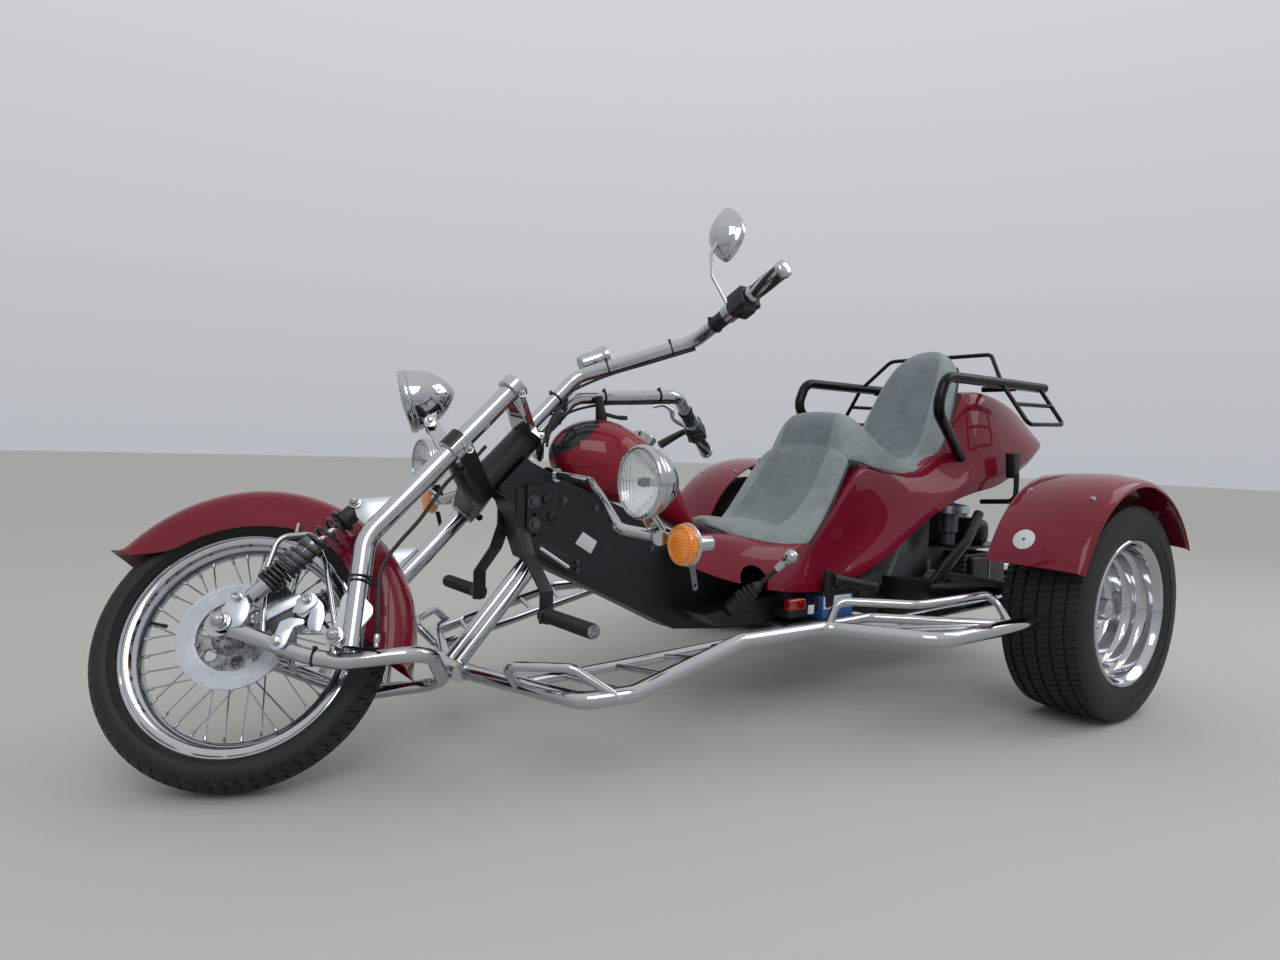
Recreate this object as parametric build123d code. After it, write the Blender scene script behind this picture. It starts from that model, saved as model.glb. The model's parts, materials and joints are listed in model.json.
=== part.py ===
from build123d import *
import math
import os

# Motorized trike: one steered front wheel on a raked leading-link fork, two driven rear wheels.
# Millimetres. +X is forward, +Y is the rider's left, +Z is up, and the wheels stand on Z = 0.
# Places along X are measured from the front axle with the steering straight ahead;
# the finished parts are moved so that the origin lies under the middle of the vehicle.

# Steering: a raked axis that meets the ground ahead of the axle, and the turn at which it is parked
rake = 45.26
trail = 112.4
parkedTurn = -39.5
wheelbase = 2189.6

# Front wheel
frontAxleHeight = 309.8
frontTyreRadius = 316.0
frontTyreWidth = 100.0
frontSeatRadius = 228.0
frontFlangeRadius = 242.0
frontRimWidth = 72.0
rimWall = 4.0
frontWellRadius = 212.0
frontHubRadius = 28.0
frontHubWidth = 84.0
hubFlangeRadius = 46.0
hubFlangeWall = 6.0
spokeCount = 36
spokeDiameter = 4.4
spokeLead = 52.0
axleDiameter = 20.0
axleLength = 366.0
axleNutDiameter = 34.0
runningClearance = 0.3
discRadius = 114.0
discThickness = 6.0
discOffset = 81.5
discWindowRadius = 13.0
discWindowPitch = 66.0
discWindowCount = 6
discCarrierRadius = 40.0

# Rear wheels
rearTrack = 1430.0
rearTyreRadius = 319.1
rearTyreWidth = 240.0
rearTreadWidth = 214.0
rearShoulderDrop = 9.0
rearSeatRadius = 196.0
rearFlangeRadius = 208.0
rearRimWidth = 218.0
rearRimWall = 5.0
rearDiscOffset = 32.0
rearDiscWall = 10.0
rearSlotCount = 5
rearSlotInner = 84.0
rearSlotOuter = 152.0
rearSlotAngle = 40.0
rearCapRadius = 34.0
rearCapHeight = 26.0
rearDrumRadius = 110.0
rearDrumWidth = 60.0
rearStubRadius = 32.0
rearStubEnd = 600.0
hubGap = 0.5

# Fork, with the steering straight: the legs ride ahead of the steering axis, then drop to the link pivots
legSpacing = 373.2
legOffset = 43.2
legDiameter = 46.0
legTop = 1112.0
legKnee = 612.0
legKneeRadius = 90.0
legFootX = -258.0
legFootZ = 226.0
legPlateThickness = 10.0
pivotX = -224.0
pivotZ = 252.0
pivotDiameter = 16.0
pivotBossRadius = 22.0
upperClampAt = 1084.0
upperClampThickness = 16.0
lowerClampTop = 921.0
lowerClampThickness = 44.0
clampBossWall = 10.0
clampRear = 52.0
stemDiameter = 32.0
stemBossRadius = 40.0
headTubeDiameter = 78.0
headClearance = 0.5

# Handlebar, left half from its foot to the grip end
barDiameter = 35.0
barFootY = 54.0
barFootOffset = -5.0
barRiseLength = 185.0
barSweepX = -1109.0
barSweepY = 138.0
barSweepZ = 932.0
barEndX = -1251.0
barEndY = 462.0
barEndZ = 900.0
barBendRadius = 70.0
gripLength = 118.0
gripDiameter = 40.0
switchLength = 62.0
switchDiameter = 52.0
mirrorRadius = 58.0
mirrorRim = 6.0
mirrorDepth = 46.0

# Front suspension
armDiameter = 34.0
armSpacing = 330.0
armLoopX = -412.0
armLoopZ = 206.0
armKneeX = -235.0
armBendX = -165.0
armBendZ = 228.0
armLoopRadius = 70.0
dropoutRadius = 27.0
dropoutWidth = 26.0
shockSpacing = 300.0
shockTopX = -272.0
shockTopZ = 547.0
shockFootX = -39.0
shockFootZ = 357.0
shockEyeRadius = 16.0
shockEyeWidth = 28.0
shockBodyDiameter = 40.0
shockRodDiameter = 14.0
springDiameter = 58.0
springWire = 9.0
springTurns = 8
springSeatWall = 8.0
boltDiameter = 12.0

# Front fender: a deep channel that follows the wheel
fenderRadius = 357.0
fenderCrown = 24.0
fenderHalfWidth = 76.0
fenderValance = 110.0
fenderWall = 3.0

# Headlight and side lamps
headlightX = -366.0
headlightZ = 895.0
headlightTilt = 10.0
headlightRadius = 82.0
headlightDepth = 128.0
lensThickness = 14.0
bezelWall = 6.0
sideLampX = -611.0
sideLampY = 555.0
sideLampZ = 682.0
sideLampRadius = 76.0
sideLampDepth = 92.0
lampBarDiameter = 24.0
indicatorX = -662.0
indicatorY = 628.0
indicatorZ = 562.0
indicatorRadius = 42.0
indicatorLens = 20.0
indicatorBarrel = 32.0
indicatorLength = 62.0

# Frame
frameWidth = 96.0
frameRear = -wheelbase + 229.6
downtubeDiameter = 36.0
downtubeSpacing = 42.0
downtubeTopX = -690.0
downtubeTopZ = 451.0
collarX = -468.0
collarZ = 200.0
collarDiameter = 48.0
collarLength = 130.0
pegX = -630.0
pegZ = 345.0
pegInner = 186.0
pegOuter = 386.0
pegDiameter = 36.0
pegArmWidth = 38.0
pegArmThickness = 9.0

# Footboards
boardTube = 40.0
boardInnerTube = 26.0
boardRung = 14.0
boardHoop = 22.0
boardSweep = 18.0
boardCornerX = -640.0
boardCornerY = 442.0
boardStayY = 500.0
boardRear = -wheelbase + rearTyreRadius + 35.5

# Passenger rails
railTube = 36.0
railY = 300.0
railZ = 1012.0
railFrontX = -2000.0
railRearX = -2632.0
rackTube = 15.0

# Rear fenders
rearFenderX = -wheelbase + 19.6
rearFenderZ = rearTyreRadius + 14.9
rearFenderInner = 592.0
rearFenderOuter = 858.0
rearFenderEdgeRadius = rearTyreRadius + 32.9
rearFenderCrownRadius = rearTyreRadius + 64.9
rearFenderWall = 5.0
rearFenderFront = 20.0
rearFenderRear = 154.0

# Drive train
panHalfWidth = 190.0
axleTubeDiameter = 76.0
transaxleWidth = 300.0
engineWidth = 460.0
engineFront = -wheelbase - 110.4
engineRear = engineFront - 300.0
engineBottom = 250.0
engineTop = 600.0
mufflerDiameter = 110.0
tailPipeDiameter = 50.0


def steerPoint(along, ahead, side=0.0):
    """Point at a distance along the steering axis and ahead of it, with the steering straight."""
    lean = math.radians(rake)
    x = trail - along * math.sin(lean) + ahead * math.cos(lean)
    z = along * math.cos(lean) + ahead * math.sin(lean)
    return (x, side, z)


def steerPlane(along):
    """Plane across the steering axis: its x runs ahead and its y to the left."""
    lean = math.radians(rake)
    return Plane(steerPoint(along, 0), x_dir=(math.cos(lean), 0, math.sin(lean)),
                 z_dir=(-math.sin(lean), 0, math.cos(lean)))


steeringAxis = Axis(steerPoint(0, 0), steerPlane(0).z_dir)


def steered(shape):
    return shape.rotate(steeringAxis, parkedTurn)


def mirrored(shape):
    return mirror(shape, about=Plane.XZ)


def pair(shape):
    """The left piece and its right-hand twin, as two solids of one node."""
    return Compound(children=[*shape.solids(), *mirrored(shape).solids()])


def rod(start, end, diameter):
    axis = Vector(*end) - Vector(*start)
    face = Plane(start, z_dir=axis) * Circle(diameter / 2)
    return extrude(face, amount=axis.length)


def tube(points, bends, diameter):
    """Round tube through straight runs that meet in tangent arcs."""
    path = FilletPolyline(*points, radius=bends)
    face = Plane(path @ 0, z_dir=path % 0) * Circle(diameter / 2)
    return sweep(face, path=path)


def acrossRod(x, z, yStart, yEnd, diameter):
    return rod((x, yStart, z), (x, yEnd, z), diameter)


def outline(*points):
    return make_face(Polyline(*points, close=True))


def sidePlate(face, yStart, thickness):
    """Side-view face, drawn as (X, Z), made into a plate that starts at yStart."""
    return Pos(0, yStart + thickness, 0) * Rot(90, 0, 0) * extrude(face, amount=thickness, dir=(0, 0, 1))


def spun(face, x, y, z):
    """Wheel profile, drawn as (offset along the axle, radius), turned about the axle."""
    return Pos(x, y, z) * revolve(Plane.YZ * face, axis=Axis.Y)


def section(x, *edges):
    """Cross section at X, with its edges drawn as (Y, Z)."""
    return Plane((x, 0, 0), x_dir=(0, 1, 0), z_dir=(1, 0, 0)) * make_face(Wire(list(edges)))


def boxBetween(xs, ys, zs):
    size = (xs[1] - xs[0], ys[1] - ys[0], zs[1] - zs[0])
    return Pos(xs[0], ys[0], zs[0]) * Box(*size, align=(Align.MIN, Align.MIN, Align.MIN))


# Front wheel

def frontTyre():
    half = frontTyreWidth / 2
    bead = frontRimWidth / 2 - rimWall - 1
    edges = [
        Line((-bead, frontSeatRadius), (bead, frontSeatRadius)),
        Line((bead, frontSeatRadius), (bead, frontFlangeRadius + 1)),
        ThreePointArc((bead, frontFlangeRadius + 1), (half, frontTyreRadius - 44),
                      (half * 0.78, frontTyreRadius - 16)),
        ThreePointArc((half * 0.78, frontTyreRadius - 16), (0, frontTyreRadius),
                      (-half * 0.78, frontTyreRadius - 16)),
        ThreePointArc((-half * 0.78, frontTyreRadius - 16), (-half, frontTyreRadius - 44),
                      (-bead, frontFlangeRadius + 1)),
        Line((-bead, frontFlangeRadius + 1), (-bead, frontSeatRadius)),
    ]
    return spun(make_face(edges), 0, 0, frontAxleHeight)


def rimFace(half, seat, flange, well, wellHalf, wall):
    """Drop-centre rim: flanges, tyre seats and a well, all of one wall."""
    outer = [(-half, flange), (-half + wall, flange), (-half + wall, seat), (-wellHalf - wall, seat),
             (-wellHalf, well), (wellHalf, well), (wellHalf + wall, seat), (half - wall, seat),
             (half - wall, flange), (half, flange)]
    inner = [(half, seat - wall), (wellHalf + wall, seat - wall), (wellHalf - wall, well - wall),
             (-wellHalf + wall, well - wall), (-wellHalf - wall, seat - wall), (-half, seat - wall)]
    return outline(*outer, *inner)


def spoke(index):
    """Wire spoke from a hub flange to the rim well, leading or trailing its neighbour."""
    side = 1 if index % 2 else -1
    lead = spokeLead if index % 4 < 2 else -spokeLead
    rimAngle = math.radians(index * 360 / spokeCount)
    hubAngle = rimAngle + math.radians(lead)
    hubReach = hubFlangeRadius - 5
    rimReach = frontWellRadius - rimWall / 2
    hubEnd = (hubReach * math.cos(hubAngle), side * (frontHubWidth / 2 - hubFlangeWall / 2),
              hubReach * math.sin(hubAngle))
    rimEnd = (rimReach * math.cos(rimAngle), side * 6, rimReach * math.sin(rimAngle))
    run = Vector(*rimEnd) - Vector(*hubEnd)
    return extrude(Plane(hubEnd, z_dir=run) * Rectangle(spokeDiameter, spokeDiameter), amount=run.length)


def frontWheel():
    rim = spun(rimFace(frontRimWidth / 2, frontSeatRadius, frontFlangeRadius, frontWellRadius,
                       frontRimWidth / 4, rimWall), 0, 0, 0)
    half = frontHubWidth / 2
    hub = acrossRod(0, 0, -half, half, 2 * frontHubRadius)
    for side in (-1, 1):
        hub += acrossRod(0, 0, side * half, side * (half - hubFlangeWall), 2 * hubFlangeRadius)
    hub += acrossRod(0, 0, half, discOffset - discThickness / 2, 2 * discCarrierRadius)
    wheel = rim + hub + [spoke(index) for index in range(spokeCount)]
    wheel -= acrossRod(0, 0, -half, discOffset, axleDiameter + 2 * runningClearance)
    return Pos(0, 0, frontAxleHeight) * wheel


def brakeDisc():
    near = discOffset - discThickness / 2
    far = discOffset + discThickness / 2
    disc = acrossRod(0, 0, near, far, 2 * discRadius)
    disc -= acrossRod(0, 0, near, far, axleDiameter + 24)
    for index in range(discWindowCount):
        angle = math.radians(index * 360 / discWindowCount)
        disc -= acrossRod(discWindowPitch * math.cos(angle), discWindowPitch * math.sin(angle),
                          near, far, 2 * discWindowRadius)
    return Pos(0, 0, frontAxleHeight) * disc


# Rear wheels

def rearTyre():
    half = rearTyreWidth / 2
    bead = rearRimWidth / 2 - rearRimWall - 1
    tread = rearTreadWidth / 2
    shoulder = rearTyreRadius - rearShoulderDrop
    middle = (rearFlangeRadius + shoulder) / 2
    edges = [
        Line((-bead, rearSeatRadius), (bead, rearSeatRadius)),
        Line((bead, rearSeatRadius), (bead, rearFlangeRadius + 1)),
        ThreePointArc((bead, rearFlangeRadius + 1), (half, middle), (tread, shoulder)),
        ThreePointArc((tread, shoulder), (0, rearTyreRadius), (-tread, shoulder)),
        ThreePointArc((-tread, shoulder), (-half, middle), (-bead, rearFlangeRadius + 1)),
        Line((-bead, rearFlangeRadius + 1), (-bead, rearSeatRadius)),
    ]
    return spun(make_face(edges), -wheelbase, rearTrack / 2, rearTyreRadius)


def rearRim():
    half = rearRimWidth / 2
    bore = rearSeatRadius - rearRimWall
    wheel = spun(rimFace(half, rearSeatRadius, rearFlangeRadius, rearSeatRadius - 14, half / 2,
                         rearRimWall), 0, 0, 0)
    disc = acrossRod(0, 0, rearDiscOffset - rearDiscWall, rearDiscOffset, 2 * (bore - 8))
    reach = (rearSlotInner + rearSlotOuter) / 2
    slotWidth = 2 * reach * math.tan(math.radians(rearSlotAngle / 2))
    slotFace = SlotOverall(slotWidth, rearSlotOuter - rearSlotInner)
    slot = sidePlate(Pos(0, reach) * slotFace, rearDiscOffset - rearDiscWall, rearDiscWall)
    for index in range(rearSlotCount):
        disc -= slot.rotate(Axis.Y, index * 360 / rearSlotCount)
    drumEnd = rearDiscOffset - rearDiscWall
    drum = acrossRod(0, 0, drumEnd - rearDrumWidth, drumEnd, 2 * rearSlotInner - 6)
    cap = acrossRod(0, 0, rearDiscOffset, rearDiscOffset + rearCapHeight, 2 * rearCapRadius)
    stub = acrossRod(0, 0, rearStubEnd + hubGap - rearTrack / 2, drumEnd - rearDrumWidth,
                     2 * rearStubRadius)
    wheel = wheel + disc + drum + cap + stub
    return Pos(-wheelbase, rearTrack / 2, rearTyreRadius) * wheel


# Fork

def legPoint(along):
    return steerPoint(along, legOffset, legSpacing / 2)


def forkLeg():
    y = legSpacing / 2
    leg = tube([legPoint(legTop), legPoint(legKnee), (legFootX, y, legFootZ)], [legKneeRadius], legDiameter)
    half = legPlateThickness / 2
    link = outline((-296, 420), (-262, 400), (pivotX + 16, pivotZ + 14), (pivotX + 10, pivotZ - 18),
                   (legFootX - 4, legFootZ))
    plate = sidePlate(link, y - half, legPlateThickness)
    boss = acrossRod(pivotX, pivotZ, y - 12, y + 12, 2 * pivotBossRadius)
    pin = acrossRod(pivotX, pivotZ, armSpacing / 2 - armDiameter / 2, y + 20, pivotDiameter)
    bracket = sidePlate(outline((-372, 560), (-330, 470), (shockTopX - 4, shockTopZ - 16),
                                (shockTopX + 14, shockTopZ), (shockTopX - 4, shockTopZ + 18)),
                        y - half, legPlateThickness)
    bolt = acrossRod(shockTopX, shockTopZ, shockSpacing / 2 - shockEyeWidth / 2, y - half, boltDiameter)
    return leg + plate + boss + pin + bracket + bolt


def upperClamp(leg):
    boss = legDiameter / 2 + clampBossWall
    face = make_hull((Pos(legOffset, legSpacing / 2) * Circle(boss)
                      + Pos(0, 0) * Circle(stemBossRadius)).edges())
    face += mirror(face, about=Plane.XZ)
    face += Pos(-clampRear / 2, 0) * Rectangle(clampRear, 2 * barFootY + barDiameter - 4)
    across = steerPlane(upperClampAt)
    clamp = extrude(across * face, amount=upperClampThickness, dir=across.z_dir)
    return clamp - leg - mirrored(leg)


def lowerClamp(leg):
    boss = legDiameter / 2 + clampBossWall
    face = make_hull((Pos(legOffset, legSpacing / 2) * Circle(boss)
                      + Pos(0, 0) * Circle(stemBossRadius)).edges())
    face += mirror(face, about=Plane.XZ)
    bottom = steerPlane(lowerClampTop - lowerClampThickness)
    clamp = extrude(bottom * face, amount=lowerClampThickness, dir=bottom.z_dir)
    stem = extrude(bottom * Circle(stemDiameter / 2), amount=upperClampAt - lowerClampTop + lowerClampThickness)
    return clamp + stem - leg - mirrored(leg)


def barRise(side=0.0):
    """Top of the straight run that stands on the upper clamp, parallel to the steering axis."""
    return steerPoint(upperClampAt + upperClampThickness + barRiseLength, barFootOffset, side)


def handlebar():
    foot = steerPoint(upperClampAt + upperClampThickness, barFootOffset, barFootY)
    points = [foot, barRise(barFootY), (barSweepX, barSweepY, barSweepZ), (barEndX, barEndY, barEndZ)]
    left = tube(points, [barBendRadius, barBendRadius], barDiameter)
    tie = rod(steerPoint(upperClampAt + barRiseLength - 30, barFootOffset, -barFootY),
              steerPoint(upperClampAt + barRiseLength - 30, barFootOffset, barFootY), barDiameter * 0.7)
    return left + mirrored(left) + tie


def barPoint(back):
    """Point on the left outer run of the handlebar, measured back from its end."""
    end = Vector(barEndX, barEndY, barEndZ)
    run = (Vector(barSweepX, barSweepY, barSweepZ) - end).normalized()
    return tuple(end + run * back)


def grips(bar):
    grip = rod(barPoint(-8), barPoint(gripLength), gripDiameter)
    return pair(grip) - bar


def controls(bar):
    housing = rod(barPoint(gripLength + 1), barPoint(gripLength + 1 + switchLength), switchDiameter)
    lever = tube([barPoint(gripLength + 30), (-1130, 320, 880), (-1180, 430, 870)], [30], 12)
    return pair(housing + lever) - bar


def mirrorUnit(bar):
    foot = barPoint(gripLength + switchLength + 18)
    clamp = rod(barPoint(gripLength + switchLength + 4), barPoint(gripLength + switchLength + 32),
                barDiameter + 14)
    stem = tube([foot, (-1128, 300, 1010), (-1188, 300, 1152)], [24], 10)
    dome = revolve(Plane.XZ * make_face([
        Line((0, 0), (mirrorRadius, 0)),
        Line((mirrorRadius, 0), (mirrorRadius, mirrorRim)),
        ThreePointArc((mirrorRadius, mirrorRim), (mirrorRadius * 0.72, mirrorDepth * 0.74), (0, mirrorDepth)),
        Line((0, mirrorDepth), (0, 0)),
    ]), axis=Axis.Z)
    head = Plane((-1192, 294, 1146), z_dir=(0.74, 0.6, -0.04)).location * dome
    return (clamp + stem + head) - bar


def speedometer(bar):
    body = rod((-828, 0, 955), (-903, 0, 979), 60)
    seat = rod(steerPoint(upperClampAt + barRiseLength - 30, barFootOffset), (-858, 0, 950), 20)
    return (body + seat) - bar


def headlight():
    tilt = Rot(0, headlightTilt, 0)
    edges = [
        Line((0, 0), (0, headlightRadius)),
        Line((0, headlightRadius), (-bezelWall * 3, headlightRadius)),
        Line((-bezelWall * 3, headlightRadius), (-bezelWall * 3, headlightRadius - bezelWall)),
        ThreePointArc((-bezelWall * 3, headlightRadius - bezelWall),
                      (-headlightDepth * 0.72, headlightRadius * 0.6), (-headlightDepth, 0)),
        Line((-headlightDepth, 0), (0, 0)),
    ]
    bowl = revolve(Plane.XZ * make_face(edges), axis=Axis.X)
    lens = Pos(-lensThickness, 0, 0) * Rot(0, 90, 0) * Cylinder(
        headlightRadius - bezelWall, lensThickness, align=(Align.CENTER, Align.CENTER, Align.MIN))
    place = Pos(headlightX, 0, headlightZ) * tilt
    return place * (bowl - lens), place * lens


def lampBracket():
    x = headlightX - 62
    z = headlightZ - 64
    # columns: distance along the steering axis and ahead of it, where the strap meets the clamp
    feet = [(lowerClampTop - 6, stemBossRadius - 4), (lowerClampTop - 36, stemBossRadius - 4),
            (lowerClampTop - 36, stemBossRadius + 16)]
    low = [steerPoint(along, ahead)[::2] for along, ahead in feet]
    return sidePlate(outline((x + 18, z), (x - 18, z), *low), -14, 28)


def swingArm():
    y = armSpacing / 2
    left = [(-5, y, frontAxleHeight), (armBendX, y, armBendZ), (armKneeX, y, armLoopZ), (armLoopX, y, armLoopZ)]
    right = [(px, -py, pz) for px, py, pz in reversed(left)]
    arm = tube(left + right, [60, 60, armLoopRadius, armLoopRadius, 60, 60], armDiameter)
    ends = acrossRod(0, frontAxleHeight, y - dropoutWidth / 2, y + dropoutWidth / 2, 2 * dropoutRadius)
    spacer = acrossRod(0, frontAxleHeight, discOffset + discThickness / 2 + 2, y, axleDiameter + 10)
    lug = sidePlate(outline((pivotX - 26, armLoopZ), (pivotX - 14, pivotZ + 14), (pivotX + 14, pivotZ + 14),
                            (pivotX + 30, armLoopZ)), y - 6, 12)
    foot = sidePlate(outline((-30, frontAxleHeight - 10), (shockFootX - 16, shockFootZ), (shockFootX, shockFootZ + 16),
                             (shockFootX + 16, shockFootZ), (20, frontAxleHeight)), y + 12, 9)
    bolt = acrossRod(shockFootX, shockFootZ, shockSpacing / 2 - shockEyeWidth / 2, y + 12, boltDiameter)
    side = ends + spacer + lug + foot + bolt
    axle = acrossRod(0, frontAxleHeight, -axleLength / 2, axleLength / 2, axleDiameter)
    inner = acrossRod(0, frontAxleHeight, -y, -frontHubWidth / 2 - 2, axleDiameter + 10)
    return arm + side + mirrored(side - spacer) + axle + inner


def shockAxis(along):
    """Point between the foot bolt and the top bolt, by its distance up from the foot."""
    foot = Vector(shockFootX, shockSpacing / 2, shockFootZ)
    top = Vector(shockTopX, shockSpacing / 2, shockTopZ)
    return tuple(foot + (top - foot).normalized() * along)


def shockLength():
    return math.hypot(shockTopX - shockFootX, shockTopZ - shockFootZ)


def shock():
    length = shockLength()
    y = shockSpacing / 2
    half = shockEyeWidth / 2
    body = rod(shockAxis(shockEyeRadius / 2), shockAxis(length * 0.55), shockBodyDiameter)
    piston = rod(shockAxis(length * 0.5), shockAxis(length - shockEyeRadius / 2), shockRodDiameter)
    lower = rod(shockAxis(60), shockAxis(60 + springSeatWall), springDiameter + 2)
    upper = rod(shockAxis(length - 50), shockAxis(length - 50 + springSeatWall * 2), springDiameter + 2)
    foot = acrossRod(shockFootX, shockFootZ, y - half, y + half, 2 * shockEyeRadius)
    top = acrossRod(shockTopX, shockTopZ, y - half, y + half, 2 * shockEyeRadius)
    return body + piston + lower + upper + foot + top


def spring():
    length = shockLength()
    start = 60 + springSeatWall
    rise = length - 50 - start
    radius = (springDiameter - springWire) / 2
    pitch = (rise - springWire) / springTurns
    helix = Helix(pitch=pitch, height=rise - springWire, radius=radius)
    wire = sweep(Plane(helix @ 0, z_dir=helix % 0) * Rectangle(springWire, springWire), path=helix, is_frenet=True)
    axis = Vector(*shockAxis(1)) - Vector(*shockAxis(0))
    return Plane(shockAxis(start + springWire / 2), z_dir=axis).location * wire


def frontFender():
    low = fenderRadius - fenderCrown - fenderValance
    half = fenderHalfWidth
    crown = ThreePointArc((-half, fenderRadius - fenderCrown), (0, fenderRadius), (half, fenderRadius - fenderCrown))
    inner = ThreePointArc((half - fenderWall, fenderRadius - fenderCrown), (0, fenderRadius - fenderWall),
                          (-half + fenderWall, fenderRadius - fenderCrown))
    channel = make_face([
        crown,
        Line((half, fenderRadius - fenderCrown), (half, low)),
        Line((half, low), (half - fenderWall, low)),
        Line((half - fenderWall, low), (half - fenderWall, fenderRadius - fenderCrown)),
        inner,
        Line((-half + fenderWall, fenderRadius - fenderCrown), (-half + fenderWall, low)),
        Line((-half + fenderWall, low), (-half, low)),
        Line((-half, low), (-half, fenderRadius - fenderCrown)),
    ])
    ring = spun(channel, -12, 0, frontAxleHeight)
    kept = make_face([
        ThreePointArc((268, 540), (93, 597), (-67, 595)),
        ThreePointArc((-67, 595), (-208, 476), (-252, 296)),
        ThreePointArc((-252, 296), (-300, 238), (-356, 196)),
        Line((-356, 196), (-460, 196)),
        Line((-460, 196), (-460, 760)),
        Line((-460, 760), (340, 760)),
        Line((340, 760), (340, 540)),
        Line((340, 540), (268, 540)),
    ])
    return ring & sidePlate(kept, -half - 1, 2 * half + 2)


def fenderStays(arm, caliper, guard):
    stay = tube([(-70, 124, 262), (-70, 106, 440), (-92, 96, 520), (-166, 94, 520), (-194, 104, 440), (-226, 124, 222)],
                [60, 30, 30, 60], 12)
    ties = rod((-129, 95, 522), (-129, fenderHalfWidth + 4, 590), 12)
    feet = rod((-70, 118, 264), (-76, 152, 270), 12) + rod((-226, 118, 226), (-226, 152, 218), 12)
    return pair(stay + ties + feet) - arm - caliper - guard


def brakeCaliper(arm):
    angle = 154.0
    reach = 112.0
    block = boxBetween((reach - 30, reach + 30), (discOffset - 24, discOffset + 24), (-42, 42))
    slot = boxBetween((0, discRadius + 6), (discOffset - discThickness / 2 - 1.5, discOffset + discThickness / 2 + 1.5),
                      (-60, 60))
    block = (block - slot).rotate(Axis.Y, -angle)
    caliper = Pos(0, 0, frontAxleHeight) * block
    top = frontAxleHeight + 62
    link = sidePlate(outline((-130, top), (-70, top), (-96, armBendZ + 16), (-136, armBendZ + 16)), discOffset + 24, 8)
    boss = acrossRod(-116, armBendZ + 28, discOffset + 24, armSpacing / 2, 24)
    return (caliper + link + boss) - arm


# Frame

def headTube():
    bottom = lowerClampTop + headClearance
    length = upperClampAt - headClearance - bottom
    body = extrude(steerPlane(bottom) * Circle(headTubeDiameter / 2), amount=length)
    return body - extrude(steerPlane(bottom) * Circle(stemDiameter / 2 + runningClearance), amount=length)


def mainFrame(head):
    # columns: X, Z, once round the side of the box that runs from the steering head to the drive train
    neck = [steerPoint(lowerClampTop + 12, -76)[::2], steerPoint(lowerClampTop + 12, -20)[::2],
            steerPoint(upperClampAt - 46, -20)[::2]]
    side = [*neck, (-655, 705), (-765, 655), (-1235, 470), (frameRear + 260, 345), (frameRear, 345), (frameRear, 235),
            (frameRear + 230, 212), (-1330, 215), (-1130, 235), (-945, 325), (-659, 459)]
    box = sidePlate(outline(*side), -frameWidth / 2, frameWidth)
    return box - extrude(steerPlane(0) * Circle(headTubeDiameter / 2), amount=2 * upperClampAt)


def frontCollar():
    return acrossRod(collarX, collarZ, -collarLength / 2, collarLength / 2, collarDiameter)


def frontDowntubes(frame, collar):
    """The two downtubes, welded to the cross tube that carries the footboards."""
    y = downtubeSpacing / 2
    left = rod((collarX, y, collarZ), (downtubeTopX, y, downtubeTopZ), downtubeDiameter)
    return collar + left + mirrored(left) - frame


def footboard(downtubes):
    """Left board: outer tube, inner tube with rungs, toe hoop, rear slats and rail, and its rear stay."""
    side = math.tan(math.radians(boardSweep))
    outer = [
        (collarX - side * 40, 40, collarZ),
        (boardCornerX + 44, boardCornerY - 44, 200),
        (boardCornerX - 60, boardCornerY, 212),
        (-1015, 447, 293),
        (boardRear + 525, 455, 297),
        (boardRear + 403, 712, 302),
        (boardRear, 732, 312),
    ]
    board = tube(outer, [60, 60, 120, 50, 90], boardTube) - downtubes
    inner = tube([(-532, 215, 200), (boardRear + 545, 432, 296), (boardRear + 335, 440, 304), (boardRear + 90, 712, 310)],
                 [200, 60], boardInnerTube)
    # columns: X and Y at the inner tube, then at the outer tube
    rungs = [(-640, 246, -700, 440), (-760, 280, -800, 441), (-880, 314, -900, 443), (-1000, 349, -1010, 447),
             (-1110, 380, -1120, 450)]
    for innerX, innerY, outerX, outerY in rungs:
        innerZ = 200 + (-532 - innerX) * 0.1266
        outerZ = 212 + (-700 - outerX) * 0.257
        board += rod((innerX, innerY, innerZ), (outerX, outerY, min(outerZ, 294)), boardRung)
    toe = tube([(-532, 225, 200), (-478, 262, 262), (-585, 372, 268), (-668, 441, 205)], [28, 50], boardHoop)
    rail = tube([(boardRear + 520, 457, 300), (boardRear + 490, 462, 366), (boardRear + 335, 600, 366),
                 (boardRear + 55, 640, 378), (boardRear + 75, 700, 312)], [36, 70, 36], boardHoop)
    for share in (0.34, 0.67):
        start = (boardRear + 495 - 30 * share, 450 + 150 * share, 300)
        end = (boardRear + 145 + 100 * share, 655 + 58 * share, 308)
        board += rod(start, end, boardRung)
    stay = rod((boardRear + 275, boardStayY, 303), (-wheelbase, boardStayY, rearTyreRadius), 30)
    return board + inner + toe + rail + stay


def footPegs(frame):
    peg = acrossRod(pegX, pegZ, pegInner - pegArmThickness, pegOuter, pegDiameter)
    y = pegInner
    t = pegArmThickness
    # columns: Y, Z, once round the bent flat bar seen from the front
    bar = [(frameWidth / 2, 640), (frameWidth / 2, 540), (90, 478), (y - t, 400), (y - t, 325), (y, 325),
           (y, 404), (90 + t, 484), (frameWidth / 2 + t, 546), (frameWidth / 2 + t, 640)]
    face = Plane.YZ * outline(*bar)
    arm = Pos(pegX - pegArmWidth / 2, 0, 0) * extrude(face, amount=pegArmWidth, dir=(1, 0, 0))
    return pair((peg + arm) - frame)


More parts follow.
